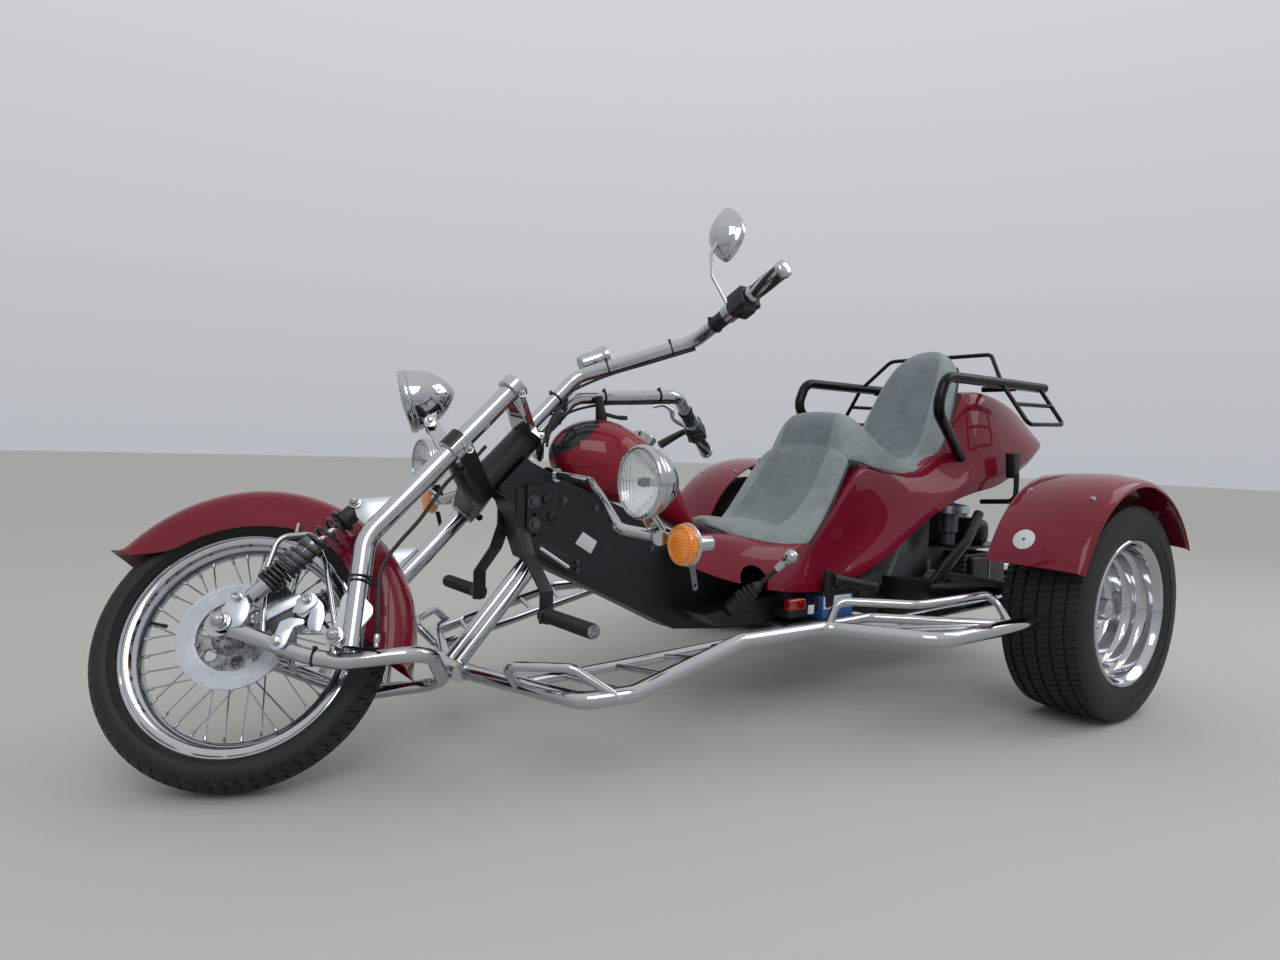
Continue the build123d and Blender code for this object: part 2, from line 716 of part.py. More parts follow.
def fuelTank(frame):
    # columns: X, bottom Z, top Z, half width
    ribs = [(-742, 712, 752, 20), (-775, 662, 800, 72), (-880, 606, 824, 132), (-1010, 578, 780, 124),
            (-1120, 532, 662, 94), (-1225, 492, 522, 40)]
    faces = []
    for x, low, high, half in ribs:
        tall = high - low
        shoulder = low + tall * 0.86
        faces.append(section(
            x,
            Line((-half * 0.72, low), (half * 0.72, low)),
            ThreePointArc((half * 0.72, low), (half, low + tall * 0.42), (half * 0.66, shoulder)),
            ThreePointArc((half * 0.66, shoulder), (0, high), (-half * 0.66, shoulder)),
            ThreePointArc((-half * 0.66, shoulder), (-half, low + tall * 0.42), (-half * 0.72, low)),
        ))
    return loft(faces, ruled=True) - frame


def tankCap(tank):
    return rod((-1012, 0, 742), (-1003, 0, 800), 64) - tank


def bodyShell(frame, tank):
    """Moulded shell: a lip that rolls out low down, a hollow flank and the cheek under the seats."""
    # columns: X, then half width and Z of the lower edge, the lip, the hollow and the cheek
    ribs = [
        (-1105, 122, 430, 112, 444, 88, 462, 60, 476),
        (-1250, 210, 380, 200, 402, 152, 462, 84, 502),
        (-1460, 239, 345, 236, 370, 216, 428, 188, 470),
        (-1620, 245, 357, 240, 382, 206, 488, 199, 574),
        (-1780, 250, 413, 242, 434, 193, 632, 187, 712),
        (-2010, 258, 540, 249, 576, 211, 656, 180, 690),
        (-2200, 264, 611, 265, 656, 236, 706, 184, 812),
        (-2330, 265, 640, 273, 682, 248, 808, 186, 989),
        (-2520, 262, 692, 272, 712, 256, 804, 181, 976),
        (-2765, 214, 790, 232, 808, 214, 836, 140, 892),
    ]
    faces = []
    for x, lowHalf, low, lipHalf, lip, hollowHalf, hollow, topHalf, top in ribs:
        faces.append(section(
            x,
            Line((-lowHalf, low), (lowHalf, low)),
            Line((lowHalf, low), (lipHalf, lip)),
            ThreePointArc((lipHalf, lip), (hollowHalf, hollow), (topHalf, top)),
            Line((topHalf, top), (-topHalf, top)),
            ThreePointArc((-topHalf, top), (-hollowHalf, hollow), (-lipHalf, lip)),
            Line((-lipHalf, lip), (-lowHalf, low)),
        ))
    return loft(faces, ruled=True) - frame - tank


def driverSeat(shell, tank):
    # columns: X, Z, once round the side of the cushion from the nose
    side = [(-1250, 552), (-1300, 546), (-1490, 528), (-1690, 776), (-1740, 738), (-1600, 585), (-1525, 490),
            (-1464, 440), (-1290, 508), (-1262, 520)]
    # columns: X, half width
    plan = [(-1250, 38), (-1292, 42), (-1350, 130), (-1464, 202), (-1600, 206), (-1740, 164)]
    cushion = sidePlate(outline(*side), -220, 440)
    top = outline(*plan, *[(x, -half) for x, half in reversed(plan)])
    return (cushion & Pos(0, 0, 400) * extrude(top, amount=500, dir=(0, 0, 1))) - shell - tank


def passengerSeat(shell, driver):
    # columns: X, Z, once round the side from the foot of the hump
    side = [(-1682, 764), (-1716, 872), (-1760, 890), (-1820, 872), (-1960, 758), (-2040, 734), (-2104, 760),
            (-2180, 880), (-2300, 1110), (-2345, 1142), (-2392, 1128), (-2398, 960), (-2200, 800), (-2090, 670),
            (-1780, 680), (-1716, 740)]
    # columns: half width, Z, seen from the front
    front = [(170, 640), (172, 780), (160, 900), (132, 1040), (108, 1110), (60, 1146)]
    # columns: X, half width
    plan = [(-1680, 124), (-1730, 158), (-1850, 170), (-2420, 172)]
    seat = sidePlate(outline(*side), -180, 360)
    ahead = outline(*front, *[(-half, z) for half, z in reversed(front)])
    top = outline(*plan, *[(x, -half) for x, half in reversed(plan)])
    seat = seat & Pos(-2500, 0, 0) * extrude(Plane.YZ * ahead, amount=900, dir=(1, 0, 0))
    seat = seat & Pos(0, 0, 600) * extrude(top, amount=600, dir=(0, 0, 1))
    return seat - shell - driver


def passengerRail():
    """Left arm rail with its side rack."""
    rail = tube([(-2236, 230, 750), (railFrontX + 22, railY, 905), (railFrontX - 24, railY, railZ),
                 (railRearX, railY, railZ)], [60, 56], railTube)
    rack = tube([(-2350, railY, railZ), (-2360, 400, 870), (-2590, 400, 878), (-2600, railY, railZ)], [24, 24],
                rackTube)
    bar = rod((-2355, 350, 940), (-2594, 350, 944), rackTube)
    return rail + rack + bar


def luggageHoop(rails, shell, seat):
    hoop = tube([(-2352, -railY, railZ), (-2420, -214, 1122), (-2420, 214, 1122), (-2352, railY, railZ)], [36, 36],
                rackTube)
    bar = rod((-2440, -railY, 1000), (-2440, railY, 1000), rackTube * 1.4)
    return (hoop + bar) - rails - shell - seat


def rearFender():
    inner = rearFenderInner
    outer = rearFenderOuter
    middle = (inner + outer) / 2
    wall = rearFenderWall
    crown = rearFenderCrownRadius
    edge = rearFenderEdgeRadius
    channel = make_face([
        ThreePointArc((inner, crown - 10), (middle, crown), (outer - 26, crown - 12)),
        ThreePointArc((outer - 26, crown - 12), (outer - 6, crown - 20), (outer, edge)),
        Line((outer, edge), (outer - wall, edge)),
        ThreePointArc((outer - wall, edge), (outer - 6 - wall, crown - 22 - wall), (outer - 28, crown - 12 - wall)),
        ThreePointArc((outer - 28, crown - 12 - wall), (middle, crown - wall), (inner, crown - 10 - wall)),
        Line((inner, crown - 10 - wall), (inner, crown - 10)),
    ])
    ring = revolve(Plane.YZ * channel, axis=Axis.Y)
    reach = crown + 40
    first = math.radians(rearFenderFront)
    last = math.radians(rearFenderRear)
    kept = outline((0, 0), (reach * math.cos(first), reach * math.sin(first)), (reach, reach),
                   (0, reach * 1.2), (-reach, reach), (reach * math.cos(last), reach * math.sin(last)))
    arch = ring & sidePlate(kept, inner - 1, outer - inner + 2)
    return Pos(rearFenderX, 0, rearFenderZ) * arch


def fenderStay(fender, axle):
    top = rearFenderZ + rearFenderCrownRadius - 28
    post = rod((-wheelbase, rearFenderInner - 22, rearTyreRadius), (-wheelbase, rearFenderInner - 22, top), 26)
    tie = rod((-wheelbase, rearFenderInner - 30, top), (-wheelbase, rearFenderInner + 40, top + 12), 22)
    return pair((post + tie) - fender) - axle


def rearAxle():
    half = transaxleWidth / 2
    rear = engineFront + 20
    case = boxBetween((rear, frameRear), (-half, half), (rearTyreRadius - 114, rearTyreRadius + 111))
    nose = boxBetween((engineFront, rear), (-half + 30, half - 30), (rearTyreRadius - 94, rearTyreRadius + 91))
    axle = acrossRod(-wheelbase, rearTyreRadius, -rearStubEnd, rearStubEnd, axleTubeDiameter)
    flange = acrossRod(-wheelbase, rearTyreRadius, rearStubEnd - 24, rearStubEnd, 2 * rearStubRadius + 60)
    return case + nose + axle + flange + mirrored(flange)


def trailingArms(frame, axle, board, pan, shell):
    arm = rod((frameRear + 260, 30, 300), (-wheelbase, 430, rearTyreRadius), 60)
    web = sidePlate(outline((frameRear + 260, 262), (frameRear + 260, 330), (frameRear - 30, 520),
                            (frameRear - 160, 560), (frameRear - 160, 360), (frameRear, 262)), panHalfWidth, 8)
    return pair((arm + web) - frame - axle - board - pan - shell)


def bellyPan(frame):
    side = outline((-1120, 300), (-1180, 262), (frameRear + 60, 250), (frameRear + 10, 344), (-1440, 344))
    return sidePlate(side, -panHalfWidth, 2 * panHalfWidth) - frame


def engineBlock():
    return boxBetween((engineRear, engineFront), (-engineWidth / 2, engineWidth / 2), (engineBottom, engineTop))


def exhaust():
    x = engineRear - mufflerDiameter / 2
    z = engineBottom + 60
    muffler = acrossRod(x, z, -210, 210, mufflerDiameter)
    for side in (-1, 1):
        muffler += rod((x, side * 140, z), (x - 120, side * 140, z), tailPipeDiameter)
    return muffler - boxBetween((engineRear, engineFront), (-300, 300), (0, 900))


def lampBar(frame):
    start = (-712, frameWidth / 2 - 18, 677)
    bar = tube([start, (-743, 190, 665), (-640, 455, 578), (indicatorX - 50, indicatorY - 8, indicatorZ)],
               [50, 50], lampBarDiameter)
    sleeve = rod(start, (-719, 66, 674), lampBarDiameter + 12)
    return (bar + sleeve) - frame


def sideLamp(bar):
    edges = [
        Line((0, 0), (0, sideLampRadius)),
        Line((0, sideLampRadius), (-bezelWall * 3, sideLampRadius)),
        Line((-bezelWall * 3, sideLampRadius), (-bezelWall * 3, sideLampRadius - bezelWall)),
        ThreePointArc((-bezelWall * 3, sideLampRadius - bezelWall),
                      (-sideLampDepth * 0.7, sideLampRadius * 0.62), (-sideLampDepth, 0)),
        Line((-sideLampDepth, 0), (0, 0)),
    ]
    bowl = revolve(Plane.XZ * make_face(edges), axis=Axis.X)
    lens = Rot(0, 90, 0) * Cylinder(sideLampRadius - bezelWall, lensThickness,
                                   align=(Align.CENTER, Align.CENTER, Align.MAX))
    place = Pos(sideLampX, sideLampY, sideLampZ)
    stud = rod((sideLampX - 36, sideLampY, sideLampZ - 40), (sideLampX - 70, sideLampY, 568), 16)
    return (place * (bowl - lens) + (stud - place * lens)) - bar, place * lens


def indicator(bar):
    place = Pos(indicatorX, indicatorY, indicatorZ)
    lens = Rot(0, 90, 0) * Cylinder(indicatorRadius, indicatorLens, align=(Align.CENTER, Align.CENTER, Align.MAX))
    edges = [
        Line((-indicatorLens, 0), (-indicatorLens, indicatorRadius + 1)),
        Line((-indicatorLens, indicatorRadius + 1), (-indicatorLens - 14, indicatorBarrel / 2)),
        Line((-indicatorLens - 14, indicatorBarrel / 2), (-indicatorLens - indicatorLength, indicatorBarrel / 2)),
        Line((-indicatorLens - indicatorLength, indicatorBarrel / 2), (-indicatorLens - indicatorLength, 0)),
        Line((-indicatorLens - indicatorLength, 0), (-indicatorLens, 0)),
    ]
    barrel = revolve(Plane.XZ * make_face(edges), axis=Axis.X)
    return (place * barrel) - bar, place * lens


def tailLamp(fender):
    y = (rearFenderInner + rearFenderOuter) / 2
    z = rearFenderZ + 226
    lamp = rod((rearFenderX - 260, y, z), (rearFenderX - 390, y, z), 92)
    arch = acrossRod(rearFenderX, rearFenderZ, y - 60, y + 60, 2 * (rearFenderCrownRadius - rearFenderWall / 2))
    return lamp - arch - fender


def battery(pan):
    return boxBetween((-1660, -1520), (190, 262), (262, 344)) - pan


def gearLever(shell, pan):
    lever = tube([(-1400, 205, 300), (-1375, 250, 372), (-1352, 286, 440)], [40], 16)
    boot = Pos(-1396, 212, 312) * Cylinder(34, 60)
    knob = Pos(-1350, 288, 446) * Sphere(21)
    return (lever + boot + knob) - shell - pan


def handBrake(shell, pan, webs):
    lever = tube([(-1800, 180, 330), (-1745, 252, 352), (-1556, 252, 374)], [40], 14)
    grip = rod((-1700, 252, 357), (-1560, 252, 373.5), 26)
    return (lever + grip) - shell - pan - webs


leg = forkLeg()
upper = upperClamp(leg)
lower = lowerClamp(leg)
bar = handlebar()
headBowl, headLens = headlight()
bracket = lampBracket()
arm = swingArm()
fender = frontFender()
caliper = brakeCaliper(arm)

steeringNodes = {
    "fork_leg_left": leg,
    "fork_leg_right": mirrored(leg),
    "upper_clamp": upper,
    "lower_clamp": lower,
    "handlebar": bar,
    "grips": grips(bar),
    "controls": controls(bar),
    "mirror": mirrorUnit(bar),
    "speedometer": speedometer(bar),
    "headlight": (headBowl + bracket) - headLens - lower,
    "headlight_lens": headLens,
    "swing_arm": arm - leg - mirrored(leg),
    "shocks": pair(shock() - leg - arm),
    "springs": pair(spring()),
    "front_fender": fender,
    "brake_caliper": caliper,
    "fender_stays": fenderStays(arm, caliper, fender),
}
wheelNodes = {
    "front_tyre": frontTyre(),
    "front_wheel": frontWheel(),
    "brake_disc": brakeDisc(),
}

head = headTube()
frame = mainFrame(head)
collar = frontCollar()
downtubes = frontDowntubes(frame, collar)
board = footboard(downtubes)
tank = fuelTank(frame)
shell = bodyShell(frame, tank)
driver = driverSeat(shell, tank)
passenger = passengerSeat(shell, driver)
rail = passengerRail() - shell - passenger
rails = pair(rail)
rearGuard = rearFender()
axle = rearAxle()
pan = bellyPan(frame)
arms = trailingArms(frame, axle, board, pan, shell)
lampBarLeft = lampBar(frame)
lampLeft, lampLens = sideLamp(lampBarLeft)
barrel, amber = indicator(lampBarLeft)

frameNodes = {
    "head_tube": head,
    "main_frame": frame,
    "front_downtubes": downtubes,
    "footboard_left": board - axle,
    "footboard_right": mirrored(board - axle),
    "foot_pegs": footPegs(frame),
    "fuel_tank": tank,
    "tank_cap": tankCap(tank),
    "body_shell": shell,
    "driver_seat": driver,
    "passenger_seat": passenger,
    "passenger_rails": rails,
    "luggage_hoop": luggageHoop(rails, shell, passenger),
    "rear_fender_left": rearGuard,
    "rear_fender_right": mirrored(rearGuard),
    "fender_posts": fenderStay(rearGuard, axle),
    "rear_axle": axle,
    "trailing_arms": arms,
    "belly_pan": pan - axle,
    "engine_block": engineBlock(),
    "exhaust": exhaust(),
    "lamp_bars": pair(lampBarLeft),
    "side_lamps": pair(lampLeft),
    "side_lenses": pair(lampLens),
    "indicator_barrels": pair(barrel),
    "indicator_lenses": pair(amber),
    "tail_lamps": pair(tailLamp(rearGuard)),
    "battery": battery(pan),
    "gear_lever": gearLever(shell, pan),
    "hand_brake": handBrake(shell, pan, arms),
    "rear_tyre_left": rearTyre(),
    "rear_tyre_right": mirrored(rearTyre()),
    "rear_rim_left": rearRim(),
    "rear_rim_right": mirrored(rearRim()),
}

nodes = {name: steered(shape) for name, shape in (steeringNodes | wheelNodes).items()}
nodes |= frameNodes
extent = [shape.bounding_box() for shape in nodes.values()]
middleX = (min(box.min.X for box in extent) + max(box.max.X for box in extent)) / 2

os.makedirs("parts", exist_ok=True)
for name, shape in nodes.items():
    export_step(Pos(-middleX, 0, 0) * shape, f"parts/{name}.step")
print("middle", round(middleX, 1), "length", round(max(b.max.X for b in extent) - min(b.min.X for b in extent), 1))
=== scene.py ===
import bpy
import bmesh
import json
import math
from mathutils import Matrix, Vector


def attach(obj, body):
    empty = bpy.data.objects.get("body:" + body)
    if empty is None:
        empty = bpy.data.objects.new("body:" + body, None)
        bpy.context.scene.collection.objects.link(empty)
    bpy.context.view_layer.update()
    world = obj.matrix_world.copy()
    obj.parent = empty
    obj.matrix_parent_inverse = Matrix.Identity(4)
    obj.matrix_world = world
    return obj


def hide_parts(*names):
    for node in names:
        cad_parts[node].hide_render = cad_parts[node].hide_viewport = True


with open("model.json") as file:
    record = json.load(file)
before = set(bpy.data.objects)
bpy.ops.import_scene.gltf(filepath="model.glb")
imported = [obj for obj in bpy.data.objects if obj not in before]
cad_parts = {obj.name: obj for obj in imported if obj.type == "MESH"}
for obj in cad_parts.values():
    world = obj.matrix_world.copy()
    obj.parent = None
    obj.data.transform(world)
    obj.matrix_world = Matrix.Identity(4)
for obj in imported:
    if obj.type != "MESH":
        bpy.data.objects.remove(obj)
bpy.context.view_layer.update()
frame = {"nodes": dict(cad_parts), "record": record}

# Millimetres measured from the front axle, with the fork straight, become metres in the frame.
place = {
    "middleX": -1254.6, "parkedTurn": -39.5, "frontAxleZ": 309.8, "rearAxleX": -2189.6, "rearAxleZ": 319.1,
    "wheelSide": 715, "rake": 45.26, "axisFootX": 112.4, "legAhead": 43.2, "legSide": 186.6,
}
steering = next(joint for joint in frame["record"]["behaviour"]["joints"] if joint["name"] == "steering")


def at(x, y, z):
    return Vector(((x - place["middleX"]) / 1000, y / 1000, z / 1000))


def forkTurn():
    pivot = Vector(steering["pos_m"])
    turn = Matrix.Rotation(math.radians(place["parkedTurn"]), 4, Vector(steering["axis"]))
    return Matrix.Translation(pivot) @ turn @ Matrix.Translation(-pivot)


frontAxle = at(0, 0, place["frontAxleZ"])
rearAxleLeft = at(place["rearAxleX"], place["wheelSide"], place["rearAxleZ"])


# Materials

def linear(hexColor):
    channels = [int(hexColor[i:i + 2], 16) / 255 for i in (1, 3, 5)]
    return [c / 12.92 if c <= 0.04045 else ((c + 0.055) / 1.055) ** 2.4 for c in channels] + [1.0]


def addNode(material, kind, settings=None, links=None):
    node = material.node_tree.nodes.new(kind)
    for key, value in (settings or {}).items():
        if isinstance(key, int) or key in node.inputs:
            node.inputs[key].default_value = value
        else:
            setattr(node, key, value)
    for key, source in (links or {}).items():
        material.node_tree.links.new(source, node.inputs[key])
    return node


def newMaterial(name, color, metallic, roughness, more=None):
    material = bpy.data.materials.new(name)
    material.use_nodes = True
    surface = material.node_tree.nodes["Principled BSDF"]
    surface.inputs["Base Color"].default_value = linear(color)
    surface.inputs["Metallic"].default_value = metallic
    surface.inputs["Roughness"].default_value = roughness
    for key, value in (more or {}).items():
        surface.inputs[key].default_value = value
    return material


def connect(material, socket, node, output=0):
    surface = material.node_tree.nodes["Principled BSDF"]
    material.node_tree.links.new(node.outputs[output], surface.inputs[socket])


def objectNoise(material, sizeMm, detail=3.0, roughness=0.5):
    # soft noise whose blotches are about sizeMm across
    where = addNode(material, "ShaderNodeTexCoord").outputs["Object"]
    settings = {"Scale": 1000 / sizeMm, "Detail": detail, "Roughness": roughness}
    return addNode(material, "ShaderNodeTexNoise", settings, {"Vector": where}).outputs["Fac"]


def mottle(material, value, low, high, first, second):
    # base colour that goes from one hex colour to the other as the value goes from low to high
    share = addNode(material, "ShaderNodeMapRange", {1: low, 2: high}, {0: value}).outputs[0]
    colors = {"data_type": "RGBA", 6: linear(first), 7: linear(second)}
    connect(material, "Base Color", addNode(material, "ShaderNodeMix", colors, {0: share}), 2)


def addHaze(material, sizeMm, high, clean, dull):
    # roughness that drifts from clean to dull in soft blotches
    haze = objectNoise(material, sizeMm, 4)
    connect(material, "Roughness",
            addNode(material, "ShaderNodeMapRange", {1: 0.35, 2: high, 3: clean, 4: dull}, {0: haze}))


def addRelief(material, height, depthMm, strength):
    settings = {"Strength": strength, "Distance": depthMm / 1000}
    connect(material, "Normal", addNode(material, "ShaderNodeBump", settings, {"Height": height}))


redLacquer = {"Coat Weight": 1.0, "Coat Roughness": 0.03, "Coat IOR": 1.36, "Specular IOR Level": 0.08}


def makeChrome():
    # decorative chrome plate on bent tube: a clean mirror with a faint haze of polish and fingerprints
    material = newMaterial("chromePlate", "#BBBDC0", 1.0, 0.06)
    addHaze(material, 60, 0.75, 0.035, 0.11)
    return material


def makePaint():
    # two-pack red under clear lacquer: deep and faintly cloudy, with soft reflections
    material = newMaterial("deepRedLacquer", "#6C0821", 0.0, 0.38, redLacquer)
    mottle(material, objectNoise(material, 180, 2), 0.3, 0.7, "#6C0821", "#760A25")
    return material


def makeSatinBlack():
    # powder-coated steel: soft sheen, a fine orange peel and a faint grey dust
    material = newMaterial("satinBlackCoat", "#0B0C0E", 0.0, 0.42)
    mottle(material, objectNoise(material, 90, 5), 0.45, 0.8, "#0A0B0D", "#17181B")
    addRelief(material, objectNoise(material, 1.6, 2), 0.12, 0.5)
    return material


def makeVinyl(name, deep, light):
    # grained upholstery vinyl, wiped with a darker print: cloudy mottling and a fine leather grain
    material = newMaterial(name, deep, 0.0, 0.5, {"Sheen Weight": 0.12})
    clouds = {0: objectNoise(material, 34, 6, 0.62), 1: objectNoise(material, 130, 3)}
    both = addNode(material, "ShaderNodeMath", {"operation": "ADD"}, clouds).outputs[0]
    mottle(material, both, 0.72, 1.3, deep, light)
    where = addNode(material, "ShaderNodeTexCoord").outputs["Object"]
    grain = addNode(material, "ShaderNodeTexVoronoi", {"Scale": 1000 / 2.2}, {"Vector": where})
    addRelief(material, grain.outputs["Distance"], 0.35, 0.6)
    return material


def makeRubber():
    # carbon-black tyre rubber: dull, a little greyer where road dust lies
    material = newMaterial("tyreRubber", "#111112", 0.0, 0.62)
    mottle(material, objectNoise(material, 45, 5, 0.65), 0.4, 0.75, "#0E0F10", "#1D1D1D")
    addRelief(material, objectNoise(material, 1.2, 2), 0.2, 0.4)
    return material


def makeAlloy():
    # sand-cast aluminium: grey, slightly rough, with a darker oil film
    material = newMaterial("castAlloy", "#9A9C9E", 1.0, 0.4)
    mottle(material, objectNoise(material, 14, 5, 0.6), 0.35, 0.7, "#6E6F71", "#B4B6B8")
    addRelief(material, objectNoise(material, 2.2, 3), 0.3, 0.6)
    return material


def makeDiscPaint():
    # brake disc sprayed silver-white: faintly cloudy
    material = newMaterial("silverDisc", "#C3C9D0", 0.15, 0.42)
    mottle(material, objectNoise(material, 30, 4), 0.3, 0.7, "#B4BBC3", "#CBD1D8")
    return material


def makeAmber():
    # moulded acrylic indicator lens: deep orange with a grid of small prisms inside
    glow = {"Coat Weight": 1.0, "Coat Roughness": 0.04, "Emission Strength": 0.05,
            "Emission Color": linear("#FF8A10")}
    material = newMaterial("amberLens", "#E8780C", 0.0, 0.12, glow)
    where = addNode(material, "ShaderNodeTexCoord").outputs["Object"]
    cells = addNode(material, "ShaderNodeTexVoronoi", {"Scale": 1000 / 6.5, "Randomness": 0.0},
                    {"Vector": where})
    mottle(material, cells.outputs["Distance"], 0.1, 0.7, "#F6A02A", "#C85A06")
    return material


chrome = makeChrome()
redPaint = makePaint()
blackPaint = makeSatinBlack()
whitePaint = newMaterial("whiteEnamel", "#D5D9DE", 0.0, 0.32, {"Coat Weight": 0.6})
panelVinyl = makeVinyl("darkGreyVinyl", "#5F6A6E", "#727E82")
borderVinyl = makeVinyl("lightGreyVinyl", "#727D7F", "#8A9595")
pipingVinyl = newMaterial("darkPiping", "#2C3032", 0.0, 0.55)
tyreRubber = makeRubber()
amber = makeAmber()
lensGlass = newMaterial("lampGlass", "#F4F8FB", 0.0, 0.03, {"Transmission Weight": 1.0, "IOR": 1.45})
reflector = newMaterial("lampReflector", "#F2F2EE", 1.0, 0.12)
alloy = makeAlloy()
blackPlastic = newMaterial("mouldedBlack", "#0E0F11", 0.0, 0.45)
glossBlack = newMaterial("glossBlackEnamel", "#040506", 0.0, 0.3,
                         {"Coat Weight": 0.6, "Coat Roughness": 0.06, "Coat IOR": 1.3,
                          "Specular IOR Level": 0.1})
blackRubber = newMaterial("hoseRubber", "#121213", 0.0, 0.5)
bluePlastic = newMaterial("blueCase", "#2A5796", 0.0, 0.4)
labelWhite = newMaterial("blankLabel", "#C9CDD0", 0.0, 0.5)
redPlastic = newMaterial("redLens", "#8C0A10", 0.0, 0.15, {"Coat Weight": 1.0})
castBlock = newMaterial("castIron", "#2A2A2B", 0.6, 0.55)
slotMaterial = {
    "chrome_tube": chrome, "red_paint": redPaint, "black_paint": blackPaint, "white_paint": whitePaint,
    "black_plastic": blackPlastic, "blue_plastic": bluePlastic, "amber_plastic": amber,
    "red_plastic": redPlastic, "clear_glass": lensGlass, "tyre_rubber": tyreRubber,
    "seat_vinyl": borderVinyl, "spring_steel": blackPaint, "alloy": alloy, "cast_block": castBlock,
}
for entry in frame["record"]["subparts"]:
    part = frame["nodes"][entry["node"]]
    for slot in part.material_slots:
        slot.material = slotMaterial[entry["material_slot"]]
print("materials ready")


# Modelling helpers

def deselectAll():
    if bpy.context.object and bpy.context.object.mode != "OBJECT":
        bpy.ops.object.mode_set(mode="OBJECT")
    bpy.ops.object.select_all(action="DESELECT")


def pick(piece):
    deselectAll()
    piece.select_set(True)
    bpy.context.view_layer.objects.active = piece


def addModifier(piece, kind, settings):
    modifier = piece.modifiers.new(kind, kind)
    for key, value in settings.items():
        setattr(modifier, key, value)
    pick(piece)
    bpy.ops.object.modifier_apply(modifier=modifier.name)


def cleanMesh(piece, distance=0.00002):
    pick(piece)
    bpy.ops.object.mode_set(mode="EDIT")
    bpy.ops.mesh.select_all(action="SELECT")
    bpy.ops.mesh.remove_doubles(threshold=distance)
    bpy.ops.mesh.normals_make_consistent(inside=False)
    bpy.ops.object.mode_set(mode="OBJECT")


def joined(name, parts):
    deselectAll()
    for part in parts:
        part.select_set(True)
    bpy.context.view_layer.objects.active = parts[0]
    if len(parts) > 1:
        bpy.ops.object.join()
    parts[0].name = name
    parts[0].data.name = name
    return parts[0]


def finishPiece(piece, body, replaced=(), turned=False, angle=35):
    # place goes into the mesh, then the piece rides on its body
    pick(piece)
    bpy.ops.object.transform_apply(location=True, rotation=True, scale=True)
    if turned:
        piece.data.transform(forkTurn())
    bpy.ops.object.shade_smooth_by_angle(angle=math.radians(angle))
    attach(piece, body)
    if replaced:
        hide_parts(*replaced)
    return piece


def paint(piece, *materials):
    piece.data.materials.clear()
    for material in materials:
        piece.data.materials.append(material)
    return piece


def paintAll(pieces, material):
    return [paint(piece, material) for piece in pieces]


def cutAway(piece, cutter):
    addModifier(piece, "BOOLEAN", {"operation": "DIFFERENCE", "object": cutter, "solver": "EXACT"})
    bpy.data.objects.remove(cutter)


def soften(piece, levels):
    addModifier(piece, "SUBSURF", {"levels": levels, "render_levels": levels})


def crossCylinder(where, radiusMm, depthMm, vertices):
    # a cylinder that lies across the vehicle
    bpy.ops.mesh.primitive_cylinder_add(vertices=vertices, radius=radiusMm / 1000, depth=depthMm / 1000,
                                        location=where, rotation=(math.pi / 2, 0, 0))
    return bpy.context.object


def roundedBlock(name, sizes, edgeMm, segments=3):
    # block of three sizes in millimetres about the origin, its edges rounded
    bpy.ops.mesh.primitive_cube_add(size=1)
    block = bpy.context.object
    block.name = name
    block.data.transform(Matrix.Diagonal([size / 1000 for size in sizes] + [1]))
    addModifier(block, "BEVEL", {"width": edgeMm / 1000, "segments": segments})
    return block


def aroundAxle(centre, angle, radius, y):
    # a place round an axle that lies across the vehicle, in millimetres from its middle
    return centre + Vector((math.cos(angle) * radius, y, math.sin(angle) * radius)) / 1000


def onCircle(centre, side, other, angle, radiusMm):
    # a place on the circle that two crossing directions span
    return centre + (side * math.cos(angle) + other * math.sin(angle)) * radiusMm / 1000


def roundedPath(points, radii, steps=8):
    # straight runs that meet in tangent arcs, in metres
    path = [points[0]]
    for before, corner, after, radius in zip(points, points[1:], points[2:], radii):
        back, on = (before - corner).normalized(), (after - corner).normalized()
        half = back.angle(on) / 2
        centre = corner + (back + on).normalized() * (radius / math.sin(half))
        start = corner + back * (radius / math.tan(half)) - centre
        end = corner + on * (radius / math.tan(half)) - centre
        turn = math.pi - 2 * half
        axis = start.cross(end).normalized()
        for step in range(steps + 1):
            path.append(centre + Matrix.Rotation(turn * step / steps, 3, axis) @ start)
    return path + [points[-1]]


def bentRod(name, points, radii, diameter, sides=6):
    # points, radii and diameter in millimetres
    line = [at(*point) for point in points]
    if radii:
        line = roundedPath(line, [radius / 1000 for radius in radii])
    return tubeAlong(name, line, diameter / 1000, sides=sides)


def tubeAlong(name, line, diameter, closed=False, sides=6):
    curve = bpy.data.curves.new(name, "CURVE")
    curve.dimensions = "3D"
    curve.bevel_depth = diameter / 2
    curve.bevel_resolution = sides
    curve.use_fill_caps = True
    spline = curve.splines.new("POLY")
    spline.points.add(len(line) - 1)
    for point, where in zip(spline.points, line):
        point.co = (*where, 1)
    spline.use_cyclic_u = closed
    piece = bpy.data.objects.new(name, curve)
    bpy.context.collection.objects.link(piece)
    pick(piece)
    bpy.ops.object.convert(target="MESH")
    return bpy.context.object


